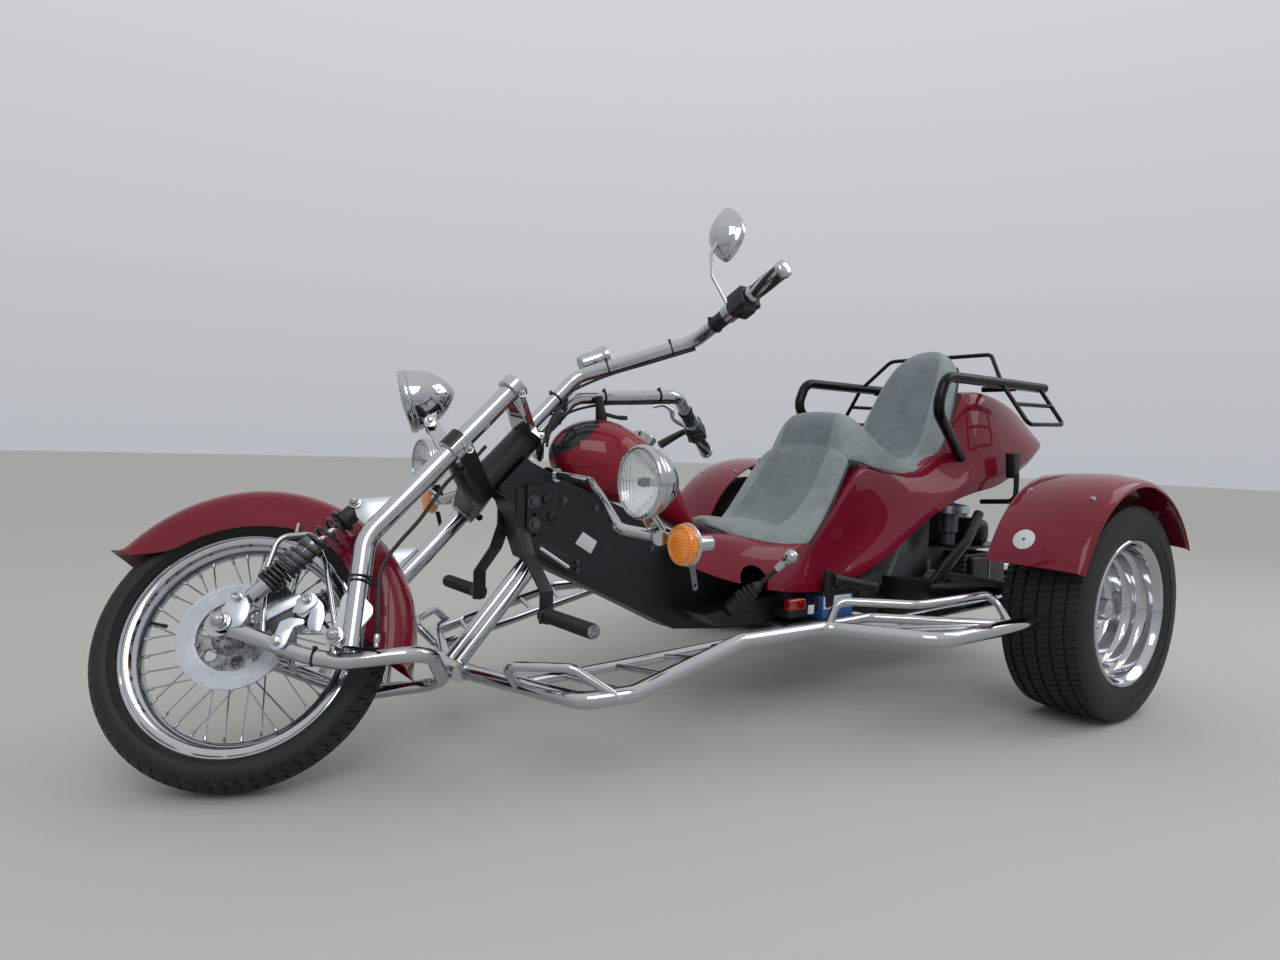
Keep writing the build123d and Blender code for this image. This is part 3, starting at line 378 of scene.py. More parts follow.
def turnedPart(name, profile, centre, axis, steps=64):
    # profile: (along the axis, radius) in millimetres, spun about the axis through centre
    axis = Vector(axis).normalized()
    side = axis.orthogonal().normalized()
    bpy.ops.mesh.primitive_plane_add(size=1)
    piece = bpy.context.object
    piece.name = name
    pick(piece)
    mesh = bmesh.new()
    corners = [mesh.verts.new(centre + axis * along / 1000 + side * radius / 1000) for along,
               radius in profile]
    for first, second in zip(corners, corners[1:]):
        mesh.edges.new((first, second))
    mesh.to_mesh(piece.data)
    mesh.free()
    bpy.ops.object.mode_set(mode="EDIT")
    bpy.ops.mesh.select_all(action="SELECT")
    bpy.ops.mesh.spin(steps=steps, angle=math.tau, center=centre, axis=axis)
    bpy.ops.mesh.select_all(action="SELECT")
    bpy.ops.mesh.remove_doubles(threshold=0.00001)
    bpy.ops.mesh.normals_make_consistent(inside=False)
    bpy.ops.object.mode_set(mode="OBJECT")
    return piece


def loftGrid(name, rows):
    # a grid whose vertices take the places of a table of points, row by row, in millimetres
    bpy.ops.mesh.primitive_grid_add(x_subdivisions=len(rows[0]) - 1, y_subdivisions=len(rows) - 1, size=2)
    piece = bpy.context.object
    piece.name = name
    across, along = len(rows[0]) - 1, len(rows) - 1
    for vertex in piece.data.vertices:
        column = round((vertex.co.x + 1) / 2 * across)
        row = round((vertex.co.y + 1) / 2 * along)
        vertex.co = at(*rows[row][column])
    return piece


def creaseRows(piece, test, amount):
    # creases the edges whose two ends pass a test on their place in millimetres
    if "crease_edge" not in piece.data.attributes:
        piece.data.attributes.new("crease_edge", "FLOAT", "EDGE")
    crease = piece.data.attributes["crease_edge"].data
    for edge in piece.data.edges:
        ends = [piece.data.vertices[i].co for i in edge.vertices]
        if test(*ends):
            crease[edge.index].value = amount


def mirrorAcross(piece):
    addModifier(piece, "MIRROR",
                {"use_axis": (False, True, False), "use_clip": True, "merge_threshold": 0.0005})
    cleanMesh(piece)


def mirroredCopy(piece, name):
    pick(piece)
    bpy.ops.object.duplicate()
    twin = bpy.context.object
    twin.name = name
    twin.data.transform(Matrix.Scale(-1, 4, (0, 1, 0)))
    cleanMesh(twin)
    return twin


# Body shell: one moulded skin whose side folds out from the seats, runs hollow and rolls to a thin lip

bodyTable = {
    "wallMm": 5.0, "rounding": 2, "creaseShare": 0.55, "notch": (-1286, 230, 384), "notchMm": 44,
    # the tail closes at this X, narrower by this share and drawn this far towards this height
    "tipX": -2795, "tipWidth": 0.9, "tipGather": 0.55, "tipZ": 800,
    # X, then (Y, Z) at the seat line, cheek, hollow, fold, lip and lower edge
    "stations": [
        (-1100, (48, 478), (74, 470), (92, 462), (106, 452), (116, 444), (124, 434)),
        (-1180, (66, 500), (98, 488), (126, 464), (146, 440), (162, 416), (172, 396)),
        (-1250, (78, 513), (122, 498), (160, 466), (184, 432), (202, 400), (212, 378)),
        (-1340, (118, 502), (168, 480), (196, 446), (214, 410), (226, 380), (230, 356)),
        (-1440, (176, 480), (204, 456), (219, 426), (229, 394), (236, 366), (238, 345)),
        (-1540, (190, 512), (206, 494), (212, 448), (226, 398), (240, 360), (241, 339)),
        (-1640, (194, 604), (206, 588), (202, 500), (218, 420), (240, 378), (244, 356)),
        (-1720, (192, 694), (202, 680), (194, 580), (212, 456), (240, 408), (246, 388)),
        (-1800, (178, 734), (192, 708), (190, 626), (212, 494), (243, 434), (250, 416)),
        (-1900, (162, 722), (182, 694), (196, 656), (218, 556), (248, 490), (254, 470)),
        (-2000, (164, 708), (184, 690), (206, 662), (226, 612), (252, 556), (257, 536)),
        (-2120, (168, 738), (196, 704), (224, 672), (242, 648), (258, 618), (261, 590)),
        (-2220, (168, 850), (194, 826), (226, 740), (252, 692), (267, 662), (264, 622)),
        (-2330, (172, 992), (190, 986), (232, 860), (260, 748), (273, 682), (264, 640)),
        (-2420, (176, 992), (192, 982), (240, 850), (264, 768), (274, 696), (264, 652)),
        (-2520, (174, 980), (190, 970), (242, 850), (266, 784), (272, 716), (262, 692)),
        (-2640, (166, 950), (186, 940), (236, 852), (258, 800), (262, 756), (252, 734)),
        (-2740, (146, 916), (170, 906), (214, 852), (238, 818), (238, 792), (228, 778)),
        (-2787, (112, 882), (142, 872), (190, 842), (222, 820), (222, 806), (212, 796)),
    ],
}


def makeBody():
    rows = []
    for x, *points in bodyTable["stations"]:
        seatY, seatZ = points[0]
        rows.append([(x, 0, seatZ + 2), (x, seatY * 0.55, seatZ + 1)] + [(x, y, z) for y, z in points])
    gather = bodyTable["tipGather"]
    rows.append([(bodyTable["tipX"], y * bodyTable["tipWidth"], (1 - gather) * z + gather * bodyTable["tipZ"])
                 for x, y, z in rows[-1]])
    body = loftGrid("bodyShell", rows)
    mirrorAcross(body)
    creaseRows(body, edgeOnLip, bodyTable["creaseShare"])
    soften(body, bodyTable["rounding"])
    addModifier(body, "SOLIDIFY", {"thickness": bodyTable["wallMm"] / 1000, "offset": -1.0})
    cutAway(body, crossCylinder(at(*bodyTable["notch"]), bodyTable["notchMm"], 160, 40))
    finishPiece(paint(body, redPaint), "chassis", ("body_shell",), angle=50)


def edgeOnLip(first, second):
    # both ends on the lip of one side
    for end in (first, second):
        x = end.x * 1000 + place["middleX"]
        nearest = min(bodyTable["stations"], key=lambda station: abs(station[0] - x))
        y, z = nearest[5]
        if abs(abs(end.y) * 1000 - y) > 1.5 or abs(end.z * 1000 - z) > 1.5:
            return False
    return True


makeBody()
print("body ready")


# Seats: vinyl over moulded foam, a darker middle panel sewn to a pale border

seatMaking = {"grooveMm": 3.5, "seamMm": 7.0, "pipingMm": 6.0, "fill": 0.9, "rounding": 2}
driverSeat = {
    "frontRows": 4,
    # X, Z at the middle, then (Y, Z) at the seam, shoulder and lower edge
    "rows": [
        (-1244, 551, (20, 549), (32, 542), (40, 529)),
        (-1290, 553, (36, 549), (54, 538), (66, 512)),
        (-1340, 547, (66, 542), (98, 524), (120, 478)),
        (-1400, 538, (96, 532), (140, 510), (166, 456)),
        (-1464, 534, (118, 527), (172, 502), (202, 444)),
        (-1525, 562, (128, 555), (186, 533), (209, 488)),
        (-1600, 650, (130, 644), (188, 623), (207, 584)),
        (-1660, 740, (122, 734), (176, 714), (197, 668)),
        (-1694, 786, (116, 778), (168, 752), (196, 722)),
        (-1716, 790, (112, 780), (160, 748), (186, 716)),
    ],
}
passengerSeat = {
    "frontRows": 0,
    # (X, Z) at the middle, then (X, Y, Z) at the seam, shoulder and lower edge
    "rows": [
        ((-1684, 742), (-1686, 100, 742), (-1692, 138, 738), (-1700, 170, 728)),
        ((-1689, 772), (-1694, 104, 770), (-1702, 146, 762), (-1714, 180, 730)),
        ((-1700, 826), (-1706, 103, 823), (-1718, 144, 808), (-1736, 184, 728)),
        ((-1720, 874), (-1728, 98, 869), (-1744, 136, 850), (-1762, 186, 724)),
        ((-1752, 893), (-1760, 96, 887), (-1774, 132, 862), (-1790, 188, 716)),
        ((-1800, 881), (-1806, 100, 874), (-1818, 140, 840), (-1832, 186, 706)),
        ((-1860, 840), (-1864, 108, 834), (-1872, 150, 798), (-1880, 184, 696)),
        ((-1925, 790), (-1928, 116, 785), (-1934, 156, 754), (-1940, 182, 690)),
        ((-1985, 754), (-1986, 122, 751), (-1990, 160, 726), (-1994, 184, 690)),
        ((-2040, 738), (-2040, 126, 737), (-2042, 164, 718), (-2044, 188, 692)),
        ((-2090, 748), (-2092, 128, 747), (-2098, 166, 728), (-2104, 196, 701)),
        ((-2130, 790), (-2134, 128, 789), (-2148, 166, 770), (-2160, 198, 742)),
        ((-2165, 858), (-2170, 126, 857), (-2190, 162, 840), (-2206, 192, 808)),
        ((-2205, 945), (-2212, 120, 943), (-2236, 154, 930), (-2258, 180, 905)),
        ((-2245, 1030), (-2252, 110, 1025), (-2280, 142, 1010), (-2304, 160, 985)),
        ((-2288, 1098), (-2296, 92, 1090), (-2322, 120, 1068), (-2350, 134, 1040)),
        ((-2330, 1134), (-2336, 66, 1127), (-2358, 94, 1100), (-2384, 108, 1070)),
        ((-2368, 1146), (-2370, 44, 1142), (-2388, 74, 1114), (-2406, 86, 1080)),
        ((-2398, 1130), (-2400, 40, 1124), (-2408, 70, 1098), (-2414, 82, 1070)),
        ((-2412, 1080), (-2412, 44, 1076), (-2414, 76, 1060), (-2416, 92, 1040)),
    ],
}


def seatRow(middle, seam, shoulder, edge, under):
    middle, seam, shoulder, edge, under = (Vector(point) for point in (middle, seam, shoulder, edge, under))
    inward = (middle - seam).normalized() * seatMaking["seamMm"]
    outward = (shoulder - seam).normalized() * seatMaking["seamMm"]
    halfway = (middle + seam) / 2 + Vector((0, 0, 1.5))
    lower = (shoulder + edge) / 2 + (edge - under).normalized() * 4
    floorPoint = Vector((under.x, 0, under.z))
    return [middle, halfway, seam + inward, seam, seam + outward, (seam + shoulder) / 2 + Vector((0, 1, 2)),
            shoulder, lower, edge, under, floorPoint]


def makeSeat(name, rows, frontRows, replaced):
    seat = paint(loftGrid(name, rows), panelVinyl, borderVinyl)
    pushSeam(seat, len(rows[0]))
    panelFaces(seat, len(rows[0]) - 1, frontRows)
    mirrorAcross(seat)
    capEnds(seat)
    soften(seat, seatMaking["rounding"])
    piping = paint(seamTube(name + "Piping", [row[8] for row in rows]), pipingVinyl)
    seat = joined(name, [seat, piping])
    finishPiece(seat, "chassis", (replaced,), angle=60)


def pushSeam(seat, columns):
    # the sewn line sinks into the foam
    for vertex in seat.data.vertices:
        if vertex.index % columns == 3:
            vertex.co += Vector((0, -0.2, -1)).normalized() * seatMaking["grooveMm"] / 1000


def panelFaces(seat, across, frontRows):
    # the middle panel reaches from seam to seam, on the side that is sat on, behind a pale front border
    for face in seat.data.polygons:
        column, row = face.index % across, face.index // across
        face.material_index = 0 if column < 3 and row >= frontRows else 1


def capEnds(piece):
    pick(piece)
    bpy.ops.object.mode_set(mode="EDIT")
    bpy.ops.mesh.select_all(action="DESELECT")
    bpy.ops.mesh.select_mode(type="EDGE")
    bpy.ops.mesh.select_non_manifold()
    bpy.ops.mesh.fill_holes(sides=60)
    bpy.ops.mesh.select_all(action="SELECT")
    bpy.ops.mesh.normals_make_consistent(inside=False)
    bpy.ops.object.mode_set(mode="OBJECT")


def seamTube(name, points):
    # one soft line down one side, over the front and back up the other side
    side = [at(*point) for point in points]
    other = [Vector((point.x, -point.y, point.z)) for point in reversed(side)]
    line = side + other if name.startswith("driver") else other[:-1] + side
    return tubeAlong(name, smoothLine(line), seatMaking["pipingMm"] / 1000, sides=2)


def smoothLine(points, steps=4):
    # a line through all the points, rounded between them
    line = []
    for i in range(len(points) - 1):
        p0, p1, p2, p3 = (points[max(0, min(len(points) - 1, i + k))] for k in (-1, 0, 1, 2))
        for step in range(steps):
            t = step / steps
            line.append(0.5 * (2 * p1 + (p2 - p0) * t + (2 * p0 - 5 * p1 + 4 * p2 - p3) * t * t
                               + (3 * p1 - p0 - 3 * p2 + p3) * t * t * t))
    return line + [points[-1]]


def driverRows():
    rows = []
    for x, middleZ, seam, shoulder, edge in driverSeat["rows"]:
        rows.append(seatRow((x, 0, middleZ), (x, *seam), (x, *shoulder), (x, *edge),
                            (x, edge[0] - 14, edge[1] - 16)))
    return rows


def passengerRows():
    rows = []
    for middle, seam, shoulder, edge in passengerSeat["rows"]:
        behind = edge[2] > 800
        under = (edge[0] - 30, edge[1] - 16, edge[2] - 6) if behind else (edge[0], edge[1] - 20, edge[2] - 22)
        rows.append(seatRow((middle[0], 0, middle[1]), seam, shoulder, edge, under))
    return rows


makeSeat("driverSeat", driverRows(), driverSeat["frontRows"], "driver_seat")
makeSeat("passengerSeat", passengerRows(), passengerSeat["frontRows"], "passenger_seat")
print("seats ready")


# Fuel tank: a tear drop over the frame spine

fuelTank = {
    # the dark band lies between two slanting lines: X at the top, top Z, and how far X moves for each Z
    "bandFront": (-800, 815, 0.92), "bandRear": (-862, 817, 1.25), "bandEdgeMm": 0.6,
    # once round one half of a rib: share of its half width, share of its height
    "section": [(0, 0), (0.5, 0.01), (0.82, 0.08), (0.99, 0.28), (1, 0.46), (0.9, 0.68), (0.66, 0.86),
                (0.34, 0.965), (0, 1)],
    # X, bottom Z, top Z, half width
    "ribs": [
        (-739, 722, 748, 14), (-748, 702, 762, 34), (-768, 672, 788, 62), (-806, 642, 812, 92),
        (-850, 620, 824, 118),
        (-900, 602, 828, 132), (-955, 592, 812, 132), (-1010, 580, 784, 126), (-1065, 560, 730, 112),
        (-1120, 534, 666, 94), (-1175, 512, 590, 68), (-1218, 496, 530, 44), (-1226, 498, 520, 30),
    ],
}


def makeTank():
    rows = [[(x, half * wide, low + (high - low) * tall) for wide, tall in fuelTank["section"]]
            for x, low, high, half in fuelTank["ribs"]]
    tank = loftGrid("fuelTank", rows)
    mirrorAcross(tank)
    capEnds(tank)
    soften(tank, 2)
    finishPiece(paint(tank, makeBandedPaint()), "chassis", ("fuel_tank",), angle=60)


def makeBandedPaint():
    # the tank's red with one charcoal band sprayed round its nose, both under the same lacquer
    material = newMaterial("bandedRedLacquer", "#8A0A1C", 0.0, 0.38, redLacquer)
    where = addNode(material, "ShaderNodeTexCoord").outputs["Object"]
    split = addNode(material, "ShaderNodeSeparateXYZ", None, {0: where})
    edge = fuelTank["bandEdgeMm"] / 1000
    sides = {}
    for index, key, sign in ((0, "bandFront", -1), (1, "bandRear", 1)):
        topX, topZ, slope = fuelTank[key]
        start = (place["middleX"] - topX) / 1000 - slope * topZ / 1000
        line = addNode(material, "ShaderNodeMath", {"operation": "MULTIPLY_ADD", 1: slope, 2: start},
                       {0: split.outputs["Z"]}).outputs[0]
        offset = addNode(material, "ShaderNodeMath", {"operation": "ADD"},
                         {0: split.outputs["X"], 1: line}).outputs[0]
        sides[index] = addNode(material, "ShaderNodeMapRange", {1: -edge * sign, 2: edge * sign},
                               {0: offset}).outputs[0]
    band = addNode(material, "ShaderNodeMath", {"operation": "MULTIPLY"}, sides).outputs[0]
    mottle(material, band, 0.0, 1.0, "#7E0A22", "#1E2326")
    return material


makeTank()
print("tank ready")


# Tyres: a grid wrapped round the wheel, with grooves and sipes cut by the rows that repeat

rearTyre = {
    "radius": 319.1, "half": 120, "tread": 107, "shoulderDrop": 9, "bead": 210, "beadHalf": 103,
    "facetMm": 11,
    "pitches": 98, "groovesMm": (-78, -40, 0, 40, 78), "grooveHalfMm": 4.0, "grooveMm": 6.5, "sipeMm": 3.0,
    "skewMm": 16, "wallBands": ((118.6, 250), (117.2, 281)),
}
frontTyre = {
    "radius": 309.8, "half": 60, "tread": 47, "shoulderDrop": 16, "bead": 243, "beadHalf": 31, "facetMm": 6,
    "pitches": 64, "groovesMm": (-22, 0, 22), "grooveHalfMm": 2.0, "grooveMm": 4.0, "sipeMm": 4.5,
    "skewMm": 10,
}
# where the rows of one tread pitch lie in it, and which of them a sipe lowers
treadRows = {"shares": (0.0, 0.42, 0.46, 0.56, 0.60), "sipes": (0.46, 0.56), "plainMm": 6}


def tyreProfile(settings):
    # (along the axle, radius, kind) from the outer bead to the inner bead
    radius, half, tread = settings["radius"], settings["half"], settings["tread"]
    drop, bead, beadHalf = settings["shoulderDrop"], settings["bead"], settings["beadHalf"]
    wall = radius - drop - bead
    side = [(beadHalf - 2, bead - 8), (beadHalf, bead),
            (beadHalf + (half - beadHalf) * 0.45, bead + wall * 0.08),
            (half * 0.5 + beadHalf * 0.5 + 2, bead + wall * 0.16), (half - 3, bead + wall * 0.30),
            (half - 0.6, bead + wall * 0.42), (half, bead + wall * 0.52), (half - 0.8, bead + wall * 0.64),
            (half - 2.4, bead + wall * 0.76), (half * 0.55 + tread * 0.45, bead + wall * 0.88)]
    reach = settings["grooveHalfMm"]
    marks = {-tread, -tread + 5, tread - 5, tread}
    for groove in settings["groovesMm"]:
        marks |= {groove - reach - 0.8, groove - reach, groove + reach, groove + reach + 0.8}
    marks = sorted(marks)
    filled = []
    for first, second in zip(marks, marks[1:]):
        count = int((second - first) / settings["facetMm"]) + 1
        filled += [first + (second - first) * k / count for k in range(count)]
    filled.append(marks[-1])
    profile = [(-y, r, "wall") for y, r in side]
    for y in filled:
        inGroove = any(abs(y - groove) <= reach + 0.01 for groove in settings["groovesMm"])
        crown = radius - drop * (abs(y) / tread) ** 2.2
        profile.append((y, crown - settings["grooveMm"], "groove") if inGroove else (y, crown, "tread"))
    return profile + [(y, r, "wall") for y, r in reversed(side)]


def makeTyre(name, settings, centre, skew):
    profile = tyreProfile(settings)
    shares = treadRows["shares"]
    rowsAround = settings["pitches"] * len(shares)
    bpy.ops.mesh.primitive_grid_add(x_subdivisions=len(profile) - 1, y_subdivisions=rowsAround, size=2)
    tyre = bpy.context.object
    tyre.name = name
    for vertex in tyre.data.vertices:
        column = round((vertex.co.x + 1) / 2 * (len(profile) - 1))
        row = round((vertex.co.y + 1) / 2 * rowsAround)
        y, radius, kind = profile[column]
        share = shares[row % len(shares)]
        angle = (row // len(shares) + share) * math.tau / settings["pitches"]
        if kind != "wall":
            angle += skew(y, settings) / settings["radius"]
        if kind == "tread" and share in treadRows["sipes"] and abs(y) > treadRows["plainMm"]:
            radius -= settings["sipeMm"]
        vertex.co = aroundAxle(centre, angle, radius, y)
    cleanMesh(tyre, 0.00005)
    return tyre


def obliqueSkew(y, settings):
    return settings["skewMm"] * y / settings["tread"] * 1.6


def zigzagSkew(y, settings):
    phase = (y / settings["tread"] + 1) * 3
    return settings["skewMm"] * abs((phase % 2) - 1)


def makeRearTyres():
    tyre = makeTyre("rearTyreLeft", rearTyre, rearAxleLeft, obliqueSkew)
    bands = [turnedPart("band", [(y - 1.2, r - 1.2), (y, r + 1.2), (y + 1.2, r - 1.2)], rearAxleLeft,
                        (0, 1, 0), 96) for y, r in rearTyre["wallBands"]]
    tyre = paint(joined("rearTyreLeft", [tyre] + bands), tyreRubber)
    twin = mirroredCopy(tyre, "rearTyreRight")
    finishPiece(tyre, "left_roller", ("rear_tyre_left",), angle=28)
    finishPiece(twin, "right_roller", ("rear_tyre_right",), angle=28)


def makeFrontTyre():
    tyre = paint(makeTyre("frontTyre", frontTyre, frontAxle, zigzagSkew), tyreRubber)
    finishPiece(tyre, "front_roller", ("front_tyre",), turned=True, angle=28)


makeRearTyres()
makeFrontTyre()
print("tyres ready")


# Rear wheels: chromed steel barrels with a slotted centre

rearRim = {
    "slots": 8, "slotInner": 62, "slotOuter": 104, "slotWidth": 26, "nuts": 5, "nutPitch": 56,
    # along the axle from the wheel's middle, radius: from the outer lip inwards, down the dish and back
    "barrel": [(103, 212), (109, 214), (112, 211), (112, 205), (106, 199), (98, 196), (92, 190), (66, 186),
               (58, 182), (52, 172), (30, 168), (24, 164), (18, 156), (-8, 152), (-20, 146), (-26, 136),
               (-26, 120), (-30, 120), (-30, 190), (-100, 196), (-109, 210), (-103, 212)],
    "centre": [(-26, 138), (-20, 128), (-14, 118), (-10, 108), (-8, 96), (-6, 74), (0, 60), (8, 52),
               (14, 46)],
    "cap": [(2, 0.5), (2, 50), (12, 50), (20, 46), (24, 36), (38, 33), (52, 30), (57, 22), (59, 0.5)],
    "drum": [(-120, 30), (-120, 105), (-40, 108), (-30, 104), (-30, 40)],
}


def makeRearRims():
    centre, across = rearAxleLeft, (0, 1, 0)
    barrel = turnedPart("barrel", rearRim["barrel"], centre, across, 96)
    disc = turnedPart("disc", rearRim["centre"], centre, across, 96)
    addModifier(disc, "SOLIDIFY", {"thickness": 0.006, "offset": -1.0})
    inner, outer = rearRim["slotInner"], rearRim["slotOuter"]
    for index in range(rearRim["slots"]):
        angle = math.tau * index / rearRim["slots"]
        cutter = roundedBlock("slot", (outer - inner, 120, rearRim["slotWidth"]), 8)
        spot = aroundAxle(centre, angle, (inner + outer) / 2, -5)
        cutter.data.transform(Matrix.Translation(spot) @ Matrix.Rotation(-angle, 4, "Y"))
        cutAway(disc, cutter)
    cap = turnedPart("cap", rearRim["cap"], centre, across, 64)
    drum = paint(turnedPart("drum", rearRim["drum"], centre, across, 64), blackPaint)
    angles = [math.tau * (index + 0.5) / rearRim["nuts"] for index in range(rearRim["nuts"])]
    nuts = [crossCylinder(aroundAxle(centre, angle, rearRim["nutPitch"], 8), 10, 22, 6) for angle in angles]
    for nut in nuts:
        addModifier(nut, "BEVEL", {"width": 0.0015, "segments": 2})
    rim = joined("rearRimLeft", paintAll([barrel, disc, cap], chrome) + [drum] + paintAll(nuts, chrome))
    twin = mirroredCopy(rim, "rearRimRight")
    finishPiece(rim, "left_roller", ("rear_rim_left",), angle=35)
    finishPiece(twin, "right_roller", ("rear_rim_right",), angle=35)


makeRearRims()
print("rear wheels ready")


# CAD tubes and plates keep their shape and get smooth shading

def smoothCopy(node, angle=40):
    entry = next(item for item in frame["record"]["subparts"] if item["node"] == node)
    body = next(name for name, members in frame["record"]["behaviour"]["bodies"].items() if node in members)
    pick(frame["nodes"][node])
    bpy.ops.object.duplicate()
    piece = bpy.context.object
    piece.name = node + "Smooth"
    pick(piece)
    bpy.ops.object.mode_set(mode="EDIT")
    bpy.ops.mesh.select_all(action="SELECT")
    bpy.ops.mesh.remove_doubles(threshold=0.00001)
    bpy.ops.object.mode_set(mode="OBJECT")
    paint(piece, slotMaterial[entry["material_slot"]])
    finishPiece(piece, body, (node,), angle=angle)
    return piece


def paintLowerClamp():
    # satin black across its middle, chromed where it goes round the legs
    clamp = paint(smoothCopy("lower_clamp"), blackPaint, chrome)
    turn = forkTurn()
    run = turn.to_3x3() @ (at(-612, 0, 742) - at(-474, 0, 615)).normalized()
    legs = [turn @ at(-612, place["legSide"] * side, 742) for side in (1, -1)]
    for face in clamp.data.polygons:
        for leg in legs:
            offset = face.center - leg
            if (offset - run * offset.dot(run)).length < 0.035:
                face.material_index = 1


for node in ("exhaust", "upper_clamp", "head_tube", "main_frame", "fender_posts", "trailing_arms",
             "rear_axle", "belly_pan"):
    smoothCopy(node)
paintLowerClamp()
print("tubes smoothed")


# Small fittings used all over: plates, bolts and nuts

def flatPlate(name, points, y, thicknessMm, cornerMm=4.0, holes=()):
    # outline and holes as (X, Z) seen from the side; corners rounded, edges eased
    bpy.ops.mesh.primitive_circle_add(vertices=len(points), fill_type="NGON")
    plate = bpy.context.object
    plate.name = name
    for vertex, (x, z) in zip(plate.data.vertices, points):
        vertex.co = at(x, y, z)
    addModifier(plate, "BEVEL", {"affect": "VERTICES", "width": cornerMm / 1000, "segments": 4})
    addModifier(plate, "SOLIDIFY", {"thickness": thicknessMm / 1000, "offset": 0})
    cleanMesh(plate, 0.00001)
    for x, z, radius in holes:
        cutAway(plate, crossCylinder(at(x, y, z), radius, 50, 24))
    addModifier(plate, "BEVEL", {"width": 0.0009, "segments": 2, "limit_method": "ANGLE",
                                 "angle_limit": math.radians(50)})
    return plate


def hexPrism(centre, axis, acrossMm, tallMm):
    axis = Vector(axis).normalized()
    turn = axis.to_track_quat("Z", "Y").to_euler()
    bpy.ops.mesh.primitive_cylinder_add(vertices=6, radius=acrossMm / 1732, depth=tallMm / 1000,
                                        rotation=turn, location=centre + axis * tallMm / 2000)
    prism = bpy.context.object
    addModifier(prism, "BEVEL", {"width": 0.0008, "segments": 2})
    return prism


def acornNut(centre, axis, acrossMm):
    # washer, hexagon and dome, from the face it is tightened on
    across = acrossMm / 2
    washer = turnedPart("washer", [(0, 0.1), (0, across * 1.35), (1.6, across * 1.35), (2, across * 1.2),
                                   (2, 0.1)],
                        centre, axis, 24)
    nut = hexPrism(centre + Vector(axis).normalized() * 0.002, axis, acrossMm, across * 0.8)
    base = 2 + across * 0.8
    dome = turnedPart("dome", [(base - 0.5, across * 0.92), (base + across * 0.25, across * 0.88),
                               (base + across * 0.55, across * 0.7), (base + across * 0.8, across * 0.4),
                               (base + across * 0.88, 0.1)], centre, axis, 24)
    return [washer, nut, dome]


def socketBolt(centre, axis, headMm):
    # cap screw with its round head and the hexagon sunk in it
    radius = headMm / 2
    head = turnedPart("capScrew", [(0, 0.1), (0, radius), (radius * 0.9, radius), (radius, radius * 0.9),
                                   (radius, radius * 0.55), (radius * 0.4, radius * 0.5),
                                   (radius * 0.4, 0.1)],
                      centre, axis, 24)
    washer = turnedPart("washer", [(-1.6, 0.1), (-1.6, radius * 1.4), (0, radius * 1.4), (0, 0.1)], centre,
                        axis, 24)
    return [head, washer]


def hexBolt(centre, axis, acrossMm):
    washer = turnedPart("washer", [(0, 0.1), (0, acrossMm * 0.75), (1.4, acrossMm * 0.75), (1.4, 0.1)],
                        centre, axis, 24)
    return [washer, hexPrism(centre + Vector(axis).normalized() * 0.001, axis, acrossMm, acrossMm * 0.5)]


def bothSides(name, parts, body, material, replaced=(), turned=False, angle=35):
    # joins the left-hand parts, adds their mirrored twin and finishes both as one piece
    left = joined(name, parts)
    if material:
        paint(left, material)
    right = mirroredCopy(left, name + "Right")
    return finishPiece(joined(name, [left, right]), body, replaced, turned, angle)


def smoothCurve(points, steps=6):
    # points in millimetres
    return smoothLine([at(*point) for point in points], steps)


# Front wheel: laced rim, spool hub and a disc on a cast carrier
frontWheelSizes = {
    "spokes": 36, "spokeMm": 3.8, "leadDegrees": 52, "hubReach": 41, "hubSide": 39, "rimReach": 211,
    "nippleMm": 7.5, "nippleLong": 15,
    # (across, radius) once round the rim: rolled lips, tyre seats and the well
    "rim": [(33, 240), (36, 239), (38.2, 241.5), (38, 245), (35, 246.6), (32.4, 244), (31.4, 238), (31, 229),
            (16, 227), (10, 214), (-10, 214), (-16, 227), (-31, 229), (-31.4, 238), (-32.4, 244),
            (-35, 246.6),
            (-38, 245), (-38.2, 241.5), (-36, 239), (-33, 240), (-33, 234), (-30, 226), (-20, 223),
            (-13, 211), (-8, 208), (8, 208), (13, 211), (20, 223), (30, 226), (33, 234), (33, 240)],
    "hub": [(-42, 9.5), (-42, 40), (-40, 46), (-37, 46), (-34, 40), (-30, 31), (-20, 28), (20, 28), (30, 31),
            (34, 40), (37, 46), (40, 46), (42, 42), (56, 40), (74, 40), (76, 36), (76, 10.5)],
    "ring": [(78.5, 75), (84.5, 75), (84.9, 77), (84.9, 84), (84.3, 85), (84.3, 103), (84.9, 104),
             (84.9, 112), (84.3, 114), (78.7, 114), (78.1, 112), (78.1, 77), (78.5, 75)],
    "carrier": [(74, 10.5), (76, 40), (76, 79), (79.5, 79), (81, 76), (81, 44), (86, 38), (90, 34),
                (90, 10.5), (74, 10.5)],
    "windows": 6, "windowMm": 13.5, "windowPitch": 57, "boltPitch": 29, "lugPitch": 72,
    "eye": [(-4, 13), (3, 13), (3.4, 14), (2, 16.5), (-1, 17), (-4, 13)],
    # (X, Z) of both ends, diameter
    "valve": [((197, 384), (170, 374), 7), ((176, 376), (164, 371.5), 9)],
}


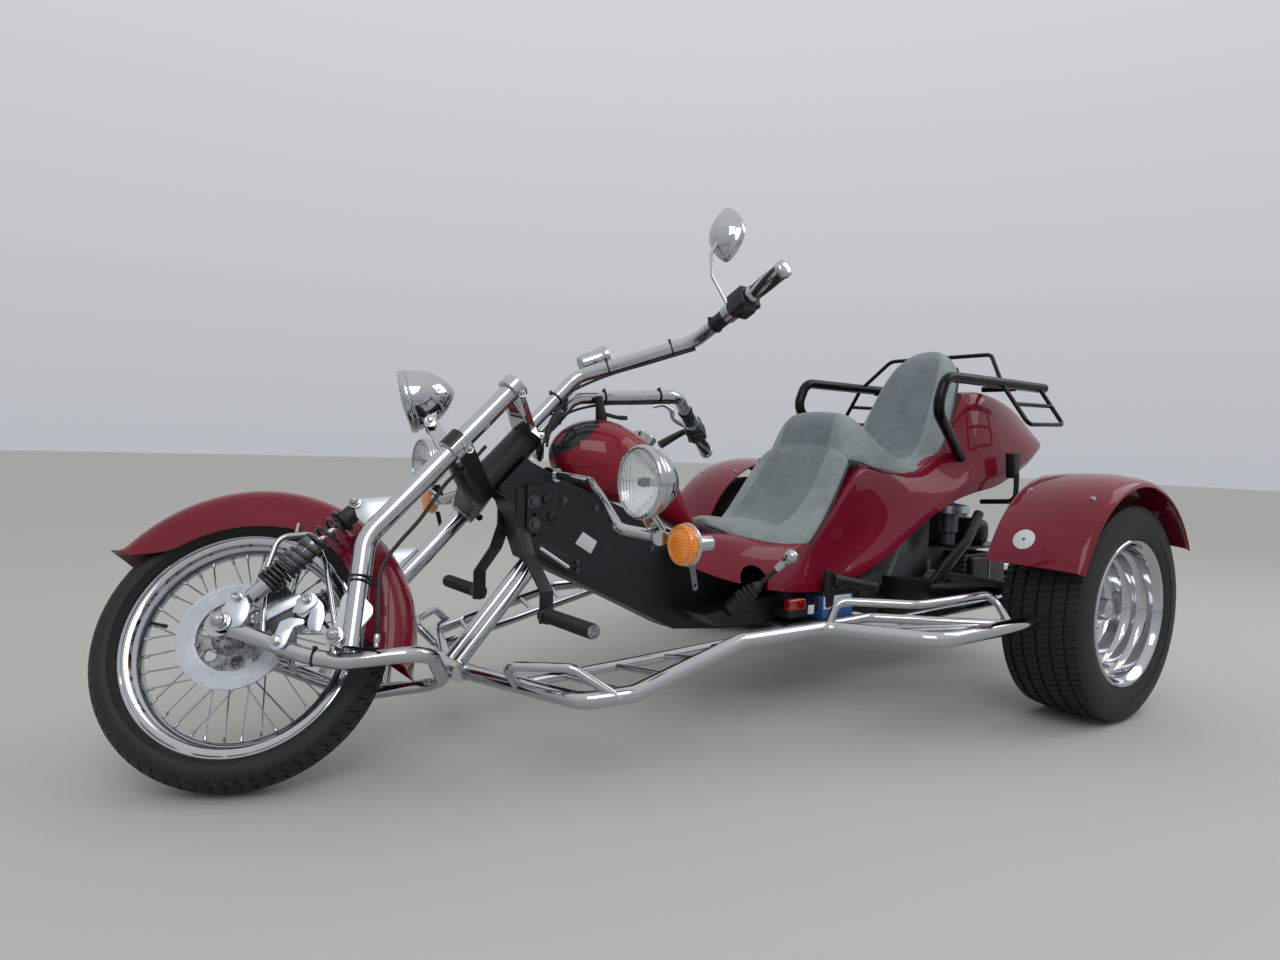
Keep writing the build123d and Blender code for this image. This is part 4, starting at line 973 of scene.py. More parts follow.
def makeFrontWheel():
    sizes = frontWheelSizes
    rim = turnedPart("rim", sizes["rim"], frontAxle, (0, 1, 0), 120)
    hub = turnedPart("hub", sizes["hub"], frontAxle, (0, 1, 0), 48)
    long, wide = sizes["nippleLong"], sizes["nippleMm"] / 2
    wires, nipples = [], []
    for index in range(sizes["spokes"]):
        side = 1 if index % 2 else -1
        lead = sizes["leadDegrees"] if index % 4 < 2 else -sizes["leadDegrees"]
        angle = math.tau * index / sizes["spokes"]
        start = aroundAxle(frontAxle, angle + math.radians(lead), sizes["hubReach"], side * sizes["hubSide"])
        end = aroundAxle(frontAxle, angle, sizes["rimReach"], side * 5)
        wires.append(tubeAlong("spoke", [start, end], sizes["spokeMm"] / 1000, sides=1))
        nipples.append(turnedPart("nipple", [(-1, 4.6), (1, 4.6), (3, wide), (long - 2, wide), (long, 2)],
                                  end, start - end, 8))
    spokes = paint(joined("frontSpokes", wires + nipples), spokeSteel)
    paint(rim, chrome)
    paint(hub, alloy)
    valve = [tubeAlong("valve", [at(x, 0, z) for x, z in ends], diameter / 1000, sides=2)
             for *ends, diameter in sizes["valve"]]
    finishPiece(joined("frontRimAndSpokes", [rim, hub, spokes] + paintAll(valve, blackPlastic)),
                "front_roller", ("front_wheel",), turned=True, angle=40)


def makeDisc():
    sizes = frontWheelSizes
    ring = paint(turnedPart("ring", sizes["ring"], frontAxle, (0, 1, 0), 96), discPaint)
    carrier = turnedPart("carrier", sizes["carrier"], frontAxle, (0, 1, 0), 72)
    trims = []
    for index in range(sizes["windows"]):
        angle = math.tau * (index + 0.35) / sizes["windows"]
        where = aroundAxle(frontAxle, angle, sizes["windowPitch"], 79)
        cutAway(carrier, crossCylinder(where, sizes["windowMm"], 40, 32))
        trims.append(turnedPart("eye", sizes["eye"], where, (0, 1, 0), 32))
        angle += math.tau / sizes["windows"] / 2
        trims += socketBolt(aroundAxle(frontAxle, angle, sizes["boltPitch"], 90), (0, 1, 0), 11)
        trims += socketBolt(aroundAxle(frontAxle, angle, sizes["lugPitch"], 81), (0, 1, 0), 10)
    finishPiece(joined("brakeDiscAndCarrier", [ring] + paintAll([carrier] + trims, alloy)), "front_roller",
                ("brake_disc",), turned=True, angle=30)


# Front suspension: shocks with a spring wound close at its foot, link plates and their fasteners

shockSizes = {
    "foot": (-39, 357), "top": (-272, 547), "side": 150,
    # millimetres up the shock, radius
    "sleeve": [(14, 9), (16, 15.5), (22, 17), (58, 17), (60, 15), (60, 8)],
    "seat": [(56, 10), (56, 25), (59, 27), (64, 27), (66, 25), (66, 17), (74, 16), (74, 10)],
    "can": [(104, 12), (106, 20), (110, 21.5), (168, 21.5), (170, 26), (176, 27.5), (182, 26), (184, 18),
            (198, 16), (200, 8)],
    "rod": [(180, 6.5), (262, 6.5)],
    "cap": [(248, 8), (248, 17), (252, 18), (256, 26), (262, 27), (266, 25), (268, 20), (289, 20), (292, 17),
            (292, 8)],
    "eye": [(-14, 6.5), (-14, 14), (-11, 15.5), (11, 15.5), (14, 14), (14, 6.5)],
    "wireMm": 8.0, "coilRadius": 25.5, "coilStart": 62,
    "pitches": [9.6, 10, 10.4, 11, 12, 14, 17, 20, 23, 25, 26, 19],
}


def makeShocks():
    sizes = shockSizes
    foot = at(sizes["foot"][0], sizes["side"], sizes["foot"][1])
    top = at(sizes["top"][0], sizes["side"], sizes["top"][1])
    run = (top - foot).normalized()
    chromeParts = [turnedPart(key, sizes[key], foot, run, 48) for key in ("sleeve", "rod")]
    for end in (foot, top):
        chromeParts.append(turnedPart("eye", sizes["eye"], end, (0, 1, 0), 32))
    dark = [turnedPart(key, sizes[key], foot, run, 48) for key in ("seat", "cap")]
    can = turnedPart("can", sizes["can"], foot, run, 48)
    side = Vector((0, 1, 0))
    other = run.cross(side)
    line, along = [], sizes["coilStart"]
    for pitch in sizes["pitches"]:
        for step in range(20):
            spot = foot + run * (along + pitch * step / 20) / 1000
            line.append(onCircle(spot, side, other, math.tau * step / 20, sizes["coilRadius"]))
        along += pitch
    coil = tubeAlong("coil", line, sizes["wireMm"] / 1000, sides=2)
    parts = paintAll(chromeParts, chrome) + paintAll(dark, blackPlastic) + [paint(can, smokedChrome)]
    bothSides("frontShocks", parts, "fork", None, ("shocks",), True, 35)
    bothSides("frontSprings", [paint(coil, springBlack)], "fork", None, ("springs",), True,
              60)


linkPlates = {
    # Y of the plate's middle, thickness, corner radius, then (X, Z) once round
    "axlePlate": (181, 8, 5,
                  [(-5, 333), (-13, 348), (-32, 364), (-54, 359), (-62, 337), (-56, 314), (-46, 301),
                              (-29, 296), (-8, 300)]),
    "armPlate": (190, 5, 5, [(-122, 297), (-143, 303), (-169, 297), (-169, 285), (-149, 283), (-134, 249),
                             (-124, 239), (-110, 240), (-100, 253), (-102, 265), (-112, 270)]),
    "footPlate": (196, 8, 6, [(-275, 345), (-252, 340), (-244, 332), (-231, 279), (-219, 260), (-221, 239),
                              (-240, 225), (-255, 234), (-304, 287), (-306, 304)]),
    "topPlate": (168, 7, 5, [(-264, 558), (-283, 562), (-365, 560), (-324, 525), (-295, 491), (-272, 518)]),
}
leftPlates = {
    "torqueLever": (114, 9, 6, [(-51, 333), (-69, 356), (-94, 367), (-141, 378), (-147, 367), (-138, 351),
                                (-110, 340), (-85, 329), (-62, 317)]),
    "torqueBracket": (121, 5, 5,
                      [(-137, 363), (-160, 373), (-179, 363), (-192, 345), (-195, 317), (-185, 285),
                                  (-163, 287), (-159, 310), (-166, 334), (-152, 319), (-135, 330)]),
}
leverEar = (127, 5, 6, [(-128, 333), (-150, 372), (-170, 374), (-182, 360), (-178, 344), (-150, 326)])
linkFasteners = {
    # place, size across
    "acorns": [((-7, 190, 312), 30), ((-229, 202, 252), 27), ((-269, 173, 553), 20)],
    "capScrew": ((-36, 186, 362), 18), "hexBolt": ((-114, 193, 258), 17),
    "leftCapScrews": [((-159, 132, 358), 17), ((-128, 99, 363), 13)],
}


def plateFrom(name, row):
    y, thick, corner, points = row
    return flatPlate(name, points, y, thick, corner)


def makeLinks():
    across = (0, 1, 0)
    plates = [plateFrom(name, row) for name, row in linkPlates.items()]
    bothSides("linkPlates", plates, "fork", satinSteel, (), True, 30)
    plates = [plateFrom(name, row) for name, row in leftPlates.items()] + [plateFrom("leverEar", leverEar)]
    finishPiece(paint(joined("torqueLink", plates), satinSteel), "fork", (), True, 30)
    nuts = []
    for where, size in linkFasteners["acorns"]:
        nuts += acornNut(at(*where), across, size)
    for make, key in ((socketBolt, "capScrew"), (hexBolt, "hexBolt")):
        where, size = linkFasteners[key]
        nuts += make(at(*where), across, size)
    bothSides("linkFasteners", nuts, "fork", chrome, (), True, 30)
    bolts = [part for where,
             size in linkFasteners["leftCapScrews"] for part in socketBolt(at(*where), across, size)]
    finishPiece(paint(joined("torqueLinkBolts", bolts), chrome), "fork", (), True, 30)


caliperSizes = {
    "reach": 112, "angle": 154, "disc": 81.5, "gap": 4.2,
    # along the disc, across it and outwards, then edge radius and its segments
    "half": (84, 56, 7, 4), "thick": {1: 11, -1: 12}, "bridge": (60, 40, 10, 3, 3),
    "piston": [(-2, 0.1), (-2, 15), (1.5, 15), (3, 13), (3, 9), (1, 8), (1, 0.1)],
    "link": [(-130, 371.8), (-70, 371.8), (-96, 244), (-136, 244)],
    "boss": [(0, 0.1), (0, 12), (56, 12), (56, 0.1)],
}


def makeCaliper():
    # two-part cast caliper over the disc, with its piston caps, bolts, bridge and link plate
    sizes = caliperSizes
    angle = math.radians(sizes["angle"])
    outward = Vector((math.cos(angle), 0, math.sin(angle)))
    tangent = Vector((-math.sin(angle), 0, math.cos(angle)))
    middle = aroundAxle(frontAxle, angle, sizes["reach"], sizes["disc"])
    turn = Matrix((-tangent, Vector((0, 1, 0)), outward)).transposed().to_4x4()
    long, tall, edge, segments = sizes["half"]
    parts = []
    for side, half in sizes["thick"].items():
        body = roundedBlock("caliperHalf", (long, half * 2, tall), edge, segments)
        shift = Matrix.Translation((0, side * (half + sizes["gap"]) / 1000, 0))
        body.data.transform(Matrix.Translation(middle) @ turn @ shift)
        parts.append(body)
        for along in (-20, 20):
            spot = middle + tangent * along / 1000 + Vector((0, side * (2 * half + 4) / 1000, 0))
            parts.append(turnedPart("piston", sizes["piston"], spot, (0, side, 0), 32))
        for along in (-36, 36):
            spot = middle + tangent * along / 1000 + outward * 0.02
            parts += socketBolt(spot + Vector((0, side * (2 * half + 3.4) / 1000, 0)), (0, side, 0), 10)
    *block, edge, segments = sizes["bridge"]
    bridge = roundedBlock("bridge", block, edge, segments)
    bridge.data.transform(Matrix.Translation(middle + outward * 0.024) @ turn)
    link = flatPlate("caliperLink", sizes["link"], 109.5, 8, 8)
    boss = turnedPart("linkBoss", sizes["boss"], at(-116, 105.5, 256), (0, 1, 0), 32)
    parts = paintAll(parts + [bridge, link, boss], castDark)
    finishPiece(joined("brakeCaliper", parts), "fork", ("brake_caliper",), True, 35)


hoseSizes = {
    "tieMm": 4.5, "legTie": 25.5, "armTie": 19, "ferrule": (-312, 198, 244),
    # diameter and route, down the left leg and then round to the caliper
    "legHose": (9, [(-560, 120, 690), (-520, 138, 640), (-472, 150, 597), (-437, 165, 545), (-404, 182, 492),
                    (-363, 196, 441), (-334, 204, 400), (-322, 206, 368), (-317, 206, 319), (-315, 205, 269),
                    (-312, 198, 240)]),
    "caliperHose": (7, [(-312, 198, 240), (-300, 176, 225), (-262, 150, 236), (-226, 128, 262),
                        (-196, 112, 300), (-176, 106, 332), (-150, 104, 352)]),
}


def tieLoop(centre, axis, radiusMm):
    # a nylon tie pulled tight round a tube
    axis = Vector(axis).normalized()
    side = axis.orthogonal().normalized()
    other = axis.cross(side)
    ring = [onCircle(centre, side, other, math.tau * k / 32, radiusMm) for k in range(32)]
    loop = tubeAlong("tie", ring, hoseSizes["tieMm"] / 1000, True, 1)
    head = roundedBlock("tieHead", (7, 6, 6), 1, 2)
    head.data.transform(Matrix.Translation(centre + side * (radiusMm + 2) / 1000))
    return [loop, head]


def makeForkHoses():
    parts = [tubeAlong("hose", smoothCurve(route), diameter / 1000, sides=3)
             for diameter, route in (hoseSizes["legHose"], hoseSizes["caliperHose"])]
    ferrule = turnedPart("ferrule", [(0, 0.1), (0, 6.5), (14, 6.5), (16, 5), (24, 5), (24, 0.1)],
                         at(*hoseSizes["ferrule"]), (0.1, 0.1, -1), 16)
    for z in (372, 362):
        parts += tieLoop(at(-283, place["legSide"], z), (-0.2, 0, 1), hoseSizes["legTie"])
    parts += tieLoop(at(-182, 165, 224), (1, 0, 0.28), hoseSizes["armTie"])
    hoses = paint(joined("forkHoses", parts), blackRubber)
    finishPiece(joined("forkHoses", [hoses, paint(ferrule, chrome)]), "fork", (), True, 40)


def makeSatinSteel():
    # sheet steel sprayed and rubbed: pale, with a slight blue that is painted sky reflection, and a faint
    # haze
    material = newMaterial("satinSteel", "#C9CFD6", 0.85, 0.3)
    addHaze(material, 26, 0.7, 0.24, 0.38)
    return material


def makeBlackWire():
    # spring wire with a glossy powder coat, greyed by dust
    material = newMaterial("springCoat", "#101012", 0.0, 0.25, {"Coat Weight": 0.5})
    mottle(material, objectNoise(material, 20, 4), 0.45, 0.8, "#0E0E10", "#2A2A2C")
    return material


satinSteel = makeSatinSteel()
springBlack = makeBlackWire()
smokedChrome = newMaterial("smokedChrome", "#77797E", 1.0, 0.16)
spokeSteel = newMaterial("spokeSteel", "#B9BCC0", 1.0, 0.28)
castDark = newMaterial("greyCasting", "#55575A", 0.7, 0.45)
discPaint = makeDiscPaint()
makeFrontWheel()
makeDisc()
makeShocks()
makeLinks()
makeCaliper()
makeForkHoses()
print("front wheel and suspension ready")


# Tubes: each is one line of points with its bends, as the CAD has it

def steerAxis():
    rake = math.radians(place["rake"])
    return Vector((-math.sin(rake), 0, math.cos(rake)))


def steerPoint(along, ahead, side=0.0):
    # millimetres up the steering axis and ahead of it
    up = steerAxis()
    return (place["axisFootX"] + along * up.x + ahead * up.z, side, along * up.z - ahead * up.x)


def legPoint(along, side=1):
    return steerPoint(along, place["legAhead"], place["legSide"] * side)


def mirrorLine(points):
    return [(x, -y, z) for x, y, z in reversed(points)]


armLine = [(-5, 165, 309.8), (-165, 165, 228), (-235, 165, 206), (-412, 165, 206)]
barLine = [steerPoint(1100, -5, 54), steerPoint(1285, -5, 54), (-1109, 138, 932), (-1251, 462, 900)]
hoopLine = [(-2352, -300, 1012), (-2420, -214, 1122), (-2420, 214, 1122), (-2352, 300, 1012)]
boardRear = -1835.0  # X of the footboards' rear ends
forkTubes = {
    # piece: material, nodes replaced, then rows of points, bend radii, diameter and whether mirrored
    "forkLegs": ("chrome_tube", ("fork_leg_left", "fork_leg_right"), [
        ([legPoint(1112), legPoint(612), (-258, 186.6, 226)], [90], 46, True),
        ([(-224, 171, 252), (-224, 208, 252)], [], 30, True),
        ([(-269, 148, 553), (-269, 176, 553)], [], 12, True),
    ]),
    "handlebarTube": ("chrome_tube", ("handlebar",), [
        (barLine, [70, 70], 35, True),
        ([steerPoint(1239, -5, -54), steerPoint(1239, -5, 54)], [], 24, False),
    ]),
    "swingArmTube": ("chrome_tube", ("swing_arm",), [
        (armLine + mirrorLine(armLine), [60, 60, 70, 70, 60, 60], 34, False),
        ([(0, 152, 309.8), (0, 180, 309.8)], [], 52, True),
        ([(0, 46, 309.8), (0, 165, 309.8)], [], 30, True),
        ([(0, -184, 309.8), (0, 184, 309.8)], [], 20, False),
        ([(-224, 154, 252), (-224, 172, 252)], [], 40, True),
        ([(-224, 165, 206), (-224, 165, 252)], [], 24, True),
    ]),
    "fenderStaysTube": ("chrome_tube", ("fender_stays",), [
        ([(-70, 124, 262), (-70, 106, 440), (-92, 96, 520), (-166, 94, 520), (-194, 104, 440),
          (-226, 124, 222)],
         [60, 30, 30, 60], 13, True),
        ([(-70, 118, 264), (-76, 152, 270)], [], 12, True),
        ([(-226, 118, 226), (-226, 152, 218)], [], 12, True),
        ([(-129, 95, 524), (-129, 78, 552)], [], 10, True),
    ]),
}
chassisTubes = {
    "downtubes": ("chrome_tube", ("front_downtubes",), [
        ([(-468, 21, 200), (-690, 21, 451)], [], 36, True),
        ([(-468, -65, 200), (-468, 65, 200)], [], 48, False),
    ]),
    "lampBarTube": ("chrome_tube", ("lamp_bars",), [
        ([(-712, 30, 677), (-743, 190, 665), (-640, 455, 578), (-712, 620, 562)], [50, 50], 24, True),
        ([(-712, 30, 677), (-719, 66, 674)], [], 36, True),
    ]),
    "passengerRailTube": ("black_paint", ("passenger_rails",), [
        ([(-2236, 230, 750), (-1978, 300, 905), (-2024, 300, 1012), (-2632, 300, 1012)], [60, 56], 36, True),
        ([(-2350, 300, 1012), (-2360, 400, 870), (-2590, 400, 878), (-2600, 300, 1012)], [24, 24], 15, True),
        ([(-2355, 350, 940), (-2594, 350, 944)], [], 15, True),
    ]),
    "luggageHoopTube": ("black_paint", ("luggage_hoop",), [
        (hoopLine, [36, 36], 15, False),
        ([(-2440, -300, 1000), (-2440, -176, 1000)], [], 21, True),
    ]),
    "footboards": ("chrome_tube", ("footboard_left", "footboard_right"), [
        ([(-481, 40, 200), (-596, 398, 200), (-700, 442, 212), (-1015, 447, 293), (boardRear + 525, 455, 297),
          (boardRear + 403, 712, 302), (boardRear, 732, 312)], [60, 60, 120, 50, 90], 40, True),
        ([(-532, 215, 200), (boardRear + 545, 432, 296), (boardRear + 335, 440, 304),
          (boardRear + 90, 712, 310)],
         [200, 60], 26, True),
        ([(-640, 246, 213.7), (-700, 440, 212)], [], 14, True),
        ([(-760, 280, 228.9), (-800, 441, 237.7)], [], 14, True),
        ([(-880, 314, 244), (-900, 443, 263.4)], [], 14, True),
        ([(-1000, 349, 259.2), (-1010, 447, 291.7)], [], 14, True),
        ([(-1110, 380, 273.1), (-1120, 450, 294)], [], 14, True),
        ([(-532, 225, 200), (-478, 262, 262), (-585, 372, 268), (-668, 441, 205)], [28, 50], 22, True),
        ([(boardRear + 520, 457, 300), (boardRear + 490, 462, 366), (boardRear + 335, 600, 366),
          (boardRear + 55, 640, 378), (boardRear + 75, 700, 312)], [36, 70, 36], 22, True),
        ([(boardRear + 484.8, 501, 300), (boardRear + 179, 674.7, 308)], [], 14, True),
        ([(boardRear + 474.9, 550.5, 300), (boardRear + 212, 693.9, 308)], [], 14, True),
        ([(boardRear + 275, 500, 303), (-2189.6, 500, 319.1)], [], 30, True),
    ]),
}


def makeTubes(table, body, turned):
    for name, (slot, replaced, rows) in table.items():
        tubes = []
        for points, radii, diameter, both in rows:
            tubes.append(bentRod("tube", points, radii, diameter, sides=10 if diameter > 18 else 5))
            if both:
                tubes.append(mirroredCopy(tubes[-1], "tube"))
        piece = paint(joined(name, tubes), glossBlack if slot == "black_paint" else slotMaterial[slot])
        finishPiece(piece, body, replaced, turned, 40)


makeTubes(forkTubes, "fork", True)
makeTubes(chassisTubes, "chassis", False)
print("tubes ready")


# Lamps: deep chrome bowls, a mirror inside each, a bulb with its cap and fluted glass

lampSizes = {
    "headlight": {"centre": (-366, 0, 895), "tilt": 10, "radius": 82, "depth": 128, "pivot": (-428, 831)},
    "sideLamp": {"centre": (-611, 555, 682), "tilt": 0, "radius": 76, "depth": 92},
    "halfFluteMm": 6.0,
    # along the axis, radius
    "bulb": [(-50, 9), (-34, 9), (-33, 6), (-22, 6.5), (-16, 7), (-12, 5.5), (-11, 0.1)],
    "bulbCap": [(-24, 9), (-10, 10.5), (-7, 9.5), (-6, 0.1)],
    "foot": [(-14, 0.1), (-14, 15), (-10, 17), (10, 17), (14, 15), (14, 0.1)],
}


def lampParts(sizes):
    # bowl, bezel, mirror, bulb and glass along the lamp's own axis, which looks forward
    tilt = math.radians(sizes["tilt"])
    axis = Vector((math.cos(tilt), 0, -math.sin(tilt)))
    centre = at(*sizes["centre"])
    radius, depth = sizes["radius"], sizes["depth"]
    inner = radius - 6
    bowl = turnedPart("bowl", [(-16, inner), (-18, radius - 3), (-26, radius - 5),
                               (-depth * 0.4, radius * 0.9),
                               (-depth * 0.6, radius * 0.76), (-depth * 0.78, radius * 0.55),
                               (-depth * 0.92, radius * 0.28), (-depth * 0.98, radius * 0.12), (-depth, 0.1)],
                      centre, axis, 64)
    soften(bowl, 1)
    bezel = turnedPart("bezel", [(-17, radius - 2), (-14, radius), (-8, radius), (-2, radius - 1),
                                 (1, radius - 3), (2, radius - 6), (1, radius - 8), (-2, radius - 9),
                                 (-16, inner), (-17, radius - 2)], centre, axis, 72)
    mirror = turnedPart("mirror", [(-3, radius - 8), (-10, radius * 0.82), (-24, radius * 0.66),
                                   (-38, radius * 0.46), (-48, radius * 0.24), (-50, 8), (-50, 0.1)],
                        centre, axis, 64)
    bulb = turnedPart("bulb", lampSizes["bulb"], centre, axis, 24)
    cap = turnedPart("bulbCap", lampSizes["bulbCap"], centre, axis, 24)
    glass = turnedPart("glass", [(-2, radius - 8.5), (0, radius - 9), (3, radius * 0.7), (6, radius * 0.42),
                                 (7.5, radius * 0.16), (7.8, 0.1)], centre, axis, 72)
    addModifier(glass, "SOLIDIFY", {"thickness": 0.0025, "offset": -1.0})
    parts = [paint(piece, material) for piece, material in (
        (bowl, chrome), (bezel, chrome), (mirror, reflector), (bulb, bulbGlass), (cap, smokedChrome))]
    return parts, paint(glass, flutedGlass)


def makeFlutedGlass():
    # pressed lamp glass: clear, with upright flutes that break up the mirror behind
    material = newMaterial("flutedGlass", "#FAFDFF", 0.0, 0.04, {"Transmission Weight": 0.92, "IOR": 1.18})
    where = addNode(material, "ShaderNodeTexCoord").outputs["Object"]
    waves = {"Scale": math.pi / 20 * 1000 / lampSizes["halfFluteMm"], "bands_direction": "Y",
             "Distortion": 0.4}
    addRelief(material, addNode(material, "ShaderNodeTexWave", waves, {"Vector": where}).outputs["Fac"], 1.2,
              0.7)
    return material


def makeHeadlight():
    parts, glass = lampParts(lampSizes["headlight"])
    x, z = lampSizes["headlight"]["pivot"]
    low = [steerPoint(along, ahead)[::2] for along, ahead in ((915, 36), (885, 36), (885, 56))]
    bracket = [flatPlate("lampStrap", [(x + 18, z), (x - 18, z), *low], 0, 28, 3)]
    for side in (-22, 22):
        bracket.append(flatPlate("lampEar",
                                 [(x - 20, z + 30), (x + 20, z + 30), (x + 14, z - 24), (x - 14, z - 24)],
                                 side, 4, 8))
    bracket += hexBolt(at(x, 24, z - 4), (0, 1, 0), 15) + hexBolt(at(x, -24, z - 4), (0, -1, 0), 15)
    finishPiece(joined("headlightBowl", parts + paintAll(bracket, chrome)), "fork",
                ("headlight",), True, 35)
    finishPiece(joined("headlightGlass", [glass]), "fork", ("headlight_lens",), True, 50)


def makeSideLamps():
    parts, glass = lampParts(lampSizes["sideLamp"])
    x, y, z = lampSizes["sideLamp"]["centre"]
    mount = [bentRod("stud", [(x - 36, y, z - 62), (x - 66, y, 584)], [], 16, sides=5)]
    mount.append(flatPlate("lampBracket",
                           [(x - 16, z - 70), (x - 58, z - 64), (x - 72, z - 104), (x - 44, z - 108)],
                           y - 12, 5, 5))
    mount.append(turnedPart("lampFoot", lampSizes["foot"], at(-668, y, 570), (0.5, 1, -0.1), 32))
    mount += hexBolt(at(x - 46, y - 8, z - 86), (0, 1, 0), 14)
    bothSides("sideLampBowls", parts + paintAll(mount, chrome), "chassis", None,
              ("side_lamps",), False, 35)
    bothSides("sideLampGlass", [glass], "chassis", None, ("side_lenses",), False, 50)


indicatorSizes = {
    "centre": (-662, 628, 562),
    "lens": [(-18, 38), (-16, 41), (-6, 41.5), (0, 39), (4, 33), (6, 22), (7, 10), (7, 0.1)],
    "rim": [(-22, 40), (-22, 43.5), (-17, 44), (-14, 42.5), (-14, 40)],
    "barrel": [(-14, 30), (-20, 43), (-23, 42), (-30, 30), (-36, 19), (-40, 16), (-78, 16), (-82, 14),
               (-82, 0.1)],
}


def makeIndicators():
    x, y, z = indicatorSizes["centre"]
    lens, rim, barrel = (turnedPart(key, indicatorSizes[key], at(x, y, z), (1, 0, 0), steps)
                         for key, steps in (("lens", 64), ("rim", 64), ("barrel", 48)))
    strip = flatPlate("strip", [(x - 28, z - 36), (x - 44, z - 36), (x - 56, z - 92), (x - 44, z - 96)],
                      y - 4, 3, 4, [(x - 48, z - 84, 3.5)])
    parts = paintAll([rim, barrel], chrome) + [paint(strip, smokedChrome)]
    bothSides("indicatorBarrels", parts, "chassis", None, ("indicator_barrels",), False, 35)
    bothSides("indicatorLenses", [lens], "chassis", amber, ("indicator_lenses",), False, 50)
flutedGlass = makeFlutedGlass()
bulbGlass = newMaterial("bulbGlass", "#E9EEF2", 0.0, 0.1, {"Coat Weight": 1.0})
makeHeadlight()
makeSideLamps()
makeIndicators()
print("lamps ready")


# Fenders: sheets rolled over each wheel, in rows round the wheel

frontFenderTable = {
    "centre": (-12, 309.8), "radius": 357, "wallMm": 3, "rows": 52, "wallRows": 6,
    # half width, drop from the crown
    "section": [(0, 0), (20, 1), (38, 4.5), (52, 10), (63, 18), (71, 28), (75, 40), (76, 54)],
    # degrees round from straight ahead, radius of the lower edge
    "edge": [(39.3, 352), (40.8, 318), (44.8, 293), (51.8, 265), (58, 255), (71, 251.5), (90, 251),
             (101, 252),
             (117, 257), (133, 260), (150, 255), (165, 246), (175, 240.5), (183, 241), (187, 255), (191, 276),
             (194, 297), (197, 338), (198.3, 356)],
}
rearFenderTable = {
    "centre": (-2170, 334), "crown": 384, "wallMm": 5, "from": 20, "to": 154, "rows": 44,
    # across the vehicle, drop from the crown
    "section": [(592, 10), (600, 8.6), (640, 4), (690, 1), (730, 0), (770, 2), (805, 7), (830, 12),
                (842, 15.5), (850, 20), (855, 26), (857.6, 32)],
    # across the vehicle, degrees round the fender
    "screws": [(624, 60), (808, 57), (624, 120), (808, 124)],
    # one blank disc, on the left fender alone
    "discSide": 688, "discDegrees": 31, "discReach": 384.5, "discTilt": 0.03,
    "disc": [(-6, 30), (3, 30), (4, 28), (4, 0.1)], "rivet": [(4, 4.5), (5, 4), (6, 0.1)],
}


def between(table, value):
    # straight reading between the rows of a two-column table
    for (first, low), (second, high) in zip(table, table[1:]):
        if first <= value <= second:
            return low + (high - low) * (value - first) / (second - first)
    return table[-1][1] if value > table[-1][0] else table[0][1]


def sheetMetal(sheet, wallMm):
    soften(sheet, 1)
    addModifier(sheet, "SOLIDIFY", {"thickness": wallMm / 1000, "offset": 0})
    return paint(sheet, redPaint)


def makeFrontFender():
    table = frontFenderTable
    first, last = table["edge"][0][0], table["edge"][-1][0]
    centreX, centreZ = table["centre"]
    wide, deep = table["section"][-1]
    rows = []
    for step in range(table["rows"] + 1):
        degrees = first + (last - first) * step / table["rows"]
        turn = math.radians(degrees)
        fall = table["radius"] - between(table["edge"], degrees)
        share = min(1.0, fall / deep)
        row = [(half, table["radius"] - drop * share) for half, drop in table["section"]]
        row += [(wide, table["radius"] - deep * share - max(0.0, fall - deep) * k / table["wallRows"])
                for k in range(1, table["wallRows"] + 1)]
        rows.append([(centreX + radius * math.cos(turn), half, centreZ + radius * math.sin(turn))
                     for half, radius in row])
    fender = loftGrid("frontFenderSheet", rows)
    mirrorAcross(fender)
    finishPiece(sheetMetal(fender, table["wallMm"]), "fork", ("front_fender",), True, 50)


def makeRearFenders():
    table = rearFenderTable
    centreX, centreZ = table["centre"]
    rows = []
    for step in range(table["rows"] + 1):
        turn = math.radians(table["from"] + (table["to"] - table["from"]) * step / table["rows"])
        rows.append([(centreX + (table["crown"] - drop) * math.cos(turn), y,
                      centreZ + (table["crown"] - drop) * math.sin(turn)) for y, drop in table["section"]])
    fender = loftGrid("rearFenderSheet", rows)
    cleanMesh(fender)
    sheetMetal(fender, table["wallMm"])
    screws = []
    for y, degrees in table["screws"]:
        turn = math.radians(degrees)
        spot = aroundAxle(at(centreX, 0, centreZ), turn, table["crown"] - between(table["section"], y) + 2, y)
        screws += socketBolt(spot, Vector((math.cos(turn), 0, math.sin(turn))), 12)
    fender = joined("rearFenderLeft", [fender] + paintAll(screws, chrome))
    twin = mirroredCopy(fender, "rearFenderRight")
    turn = math.radians(table["discDegrees"])
    outward = Vector((math.cos(turn), table["discTilt"], math.sin(turn)))
    spot = aroundAxle(at(centreX, 0, centreZ), turn, table["discReach"], table["discSide"])
    disc = paint(turnedPart("blankDisc", table["disc"], spot, outward, 48), labelWhite)
    rivet = paint(turnedPart("rivet", table["rivet"], spot, outward, 16), castDark)
    fender = joined("rearFenderLeft", [fender, disc, rivet])
    finishPiece(fender, "chassis", ("rear_fender_left",), False, 45)
    finishPiece(twin, "chassis", ("rear_fender_right",), False, 45)


makeFrontFender()
makeRearFenders()
print("fenders ready")


# Steering head: leg caps, clamps, handlebar fittings, controls and mirror


def barPoint(back, side=1):
    # millimetres back from the grip's end along the outer run of one bar
    end = Vector((-1251, 462 * side, 900))
    run = (Vector((-1109, 138 * side, 932)) - end).normalized()
    return tuple(end + run * back)


def barAxis(side=1):
    return (Vector(barPoint(0, side)) - Vector(barPoint(100, side))).normalized()


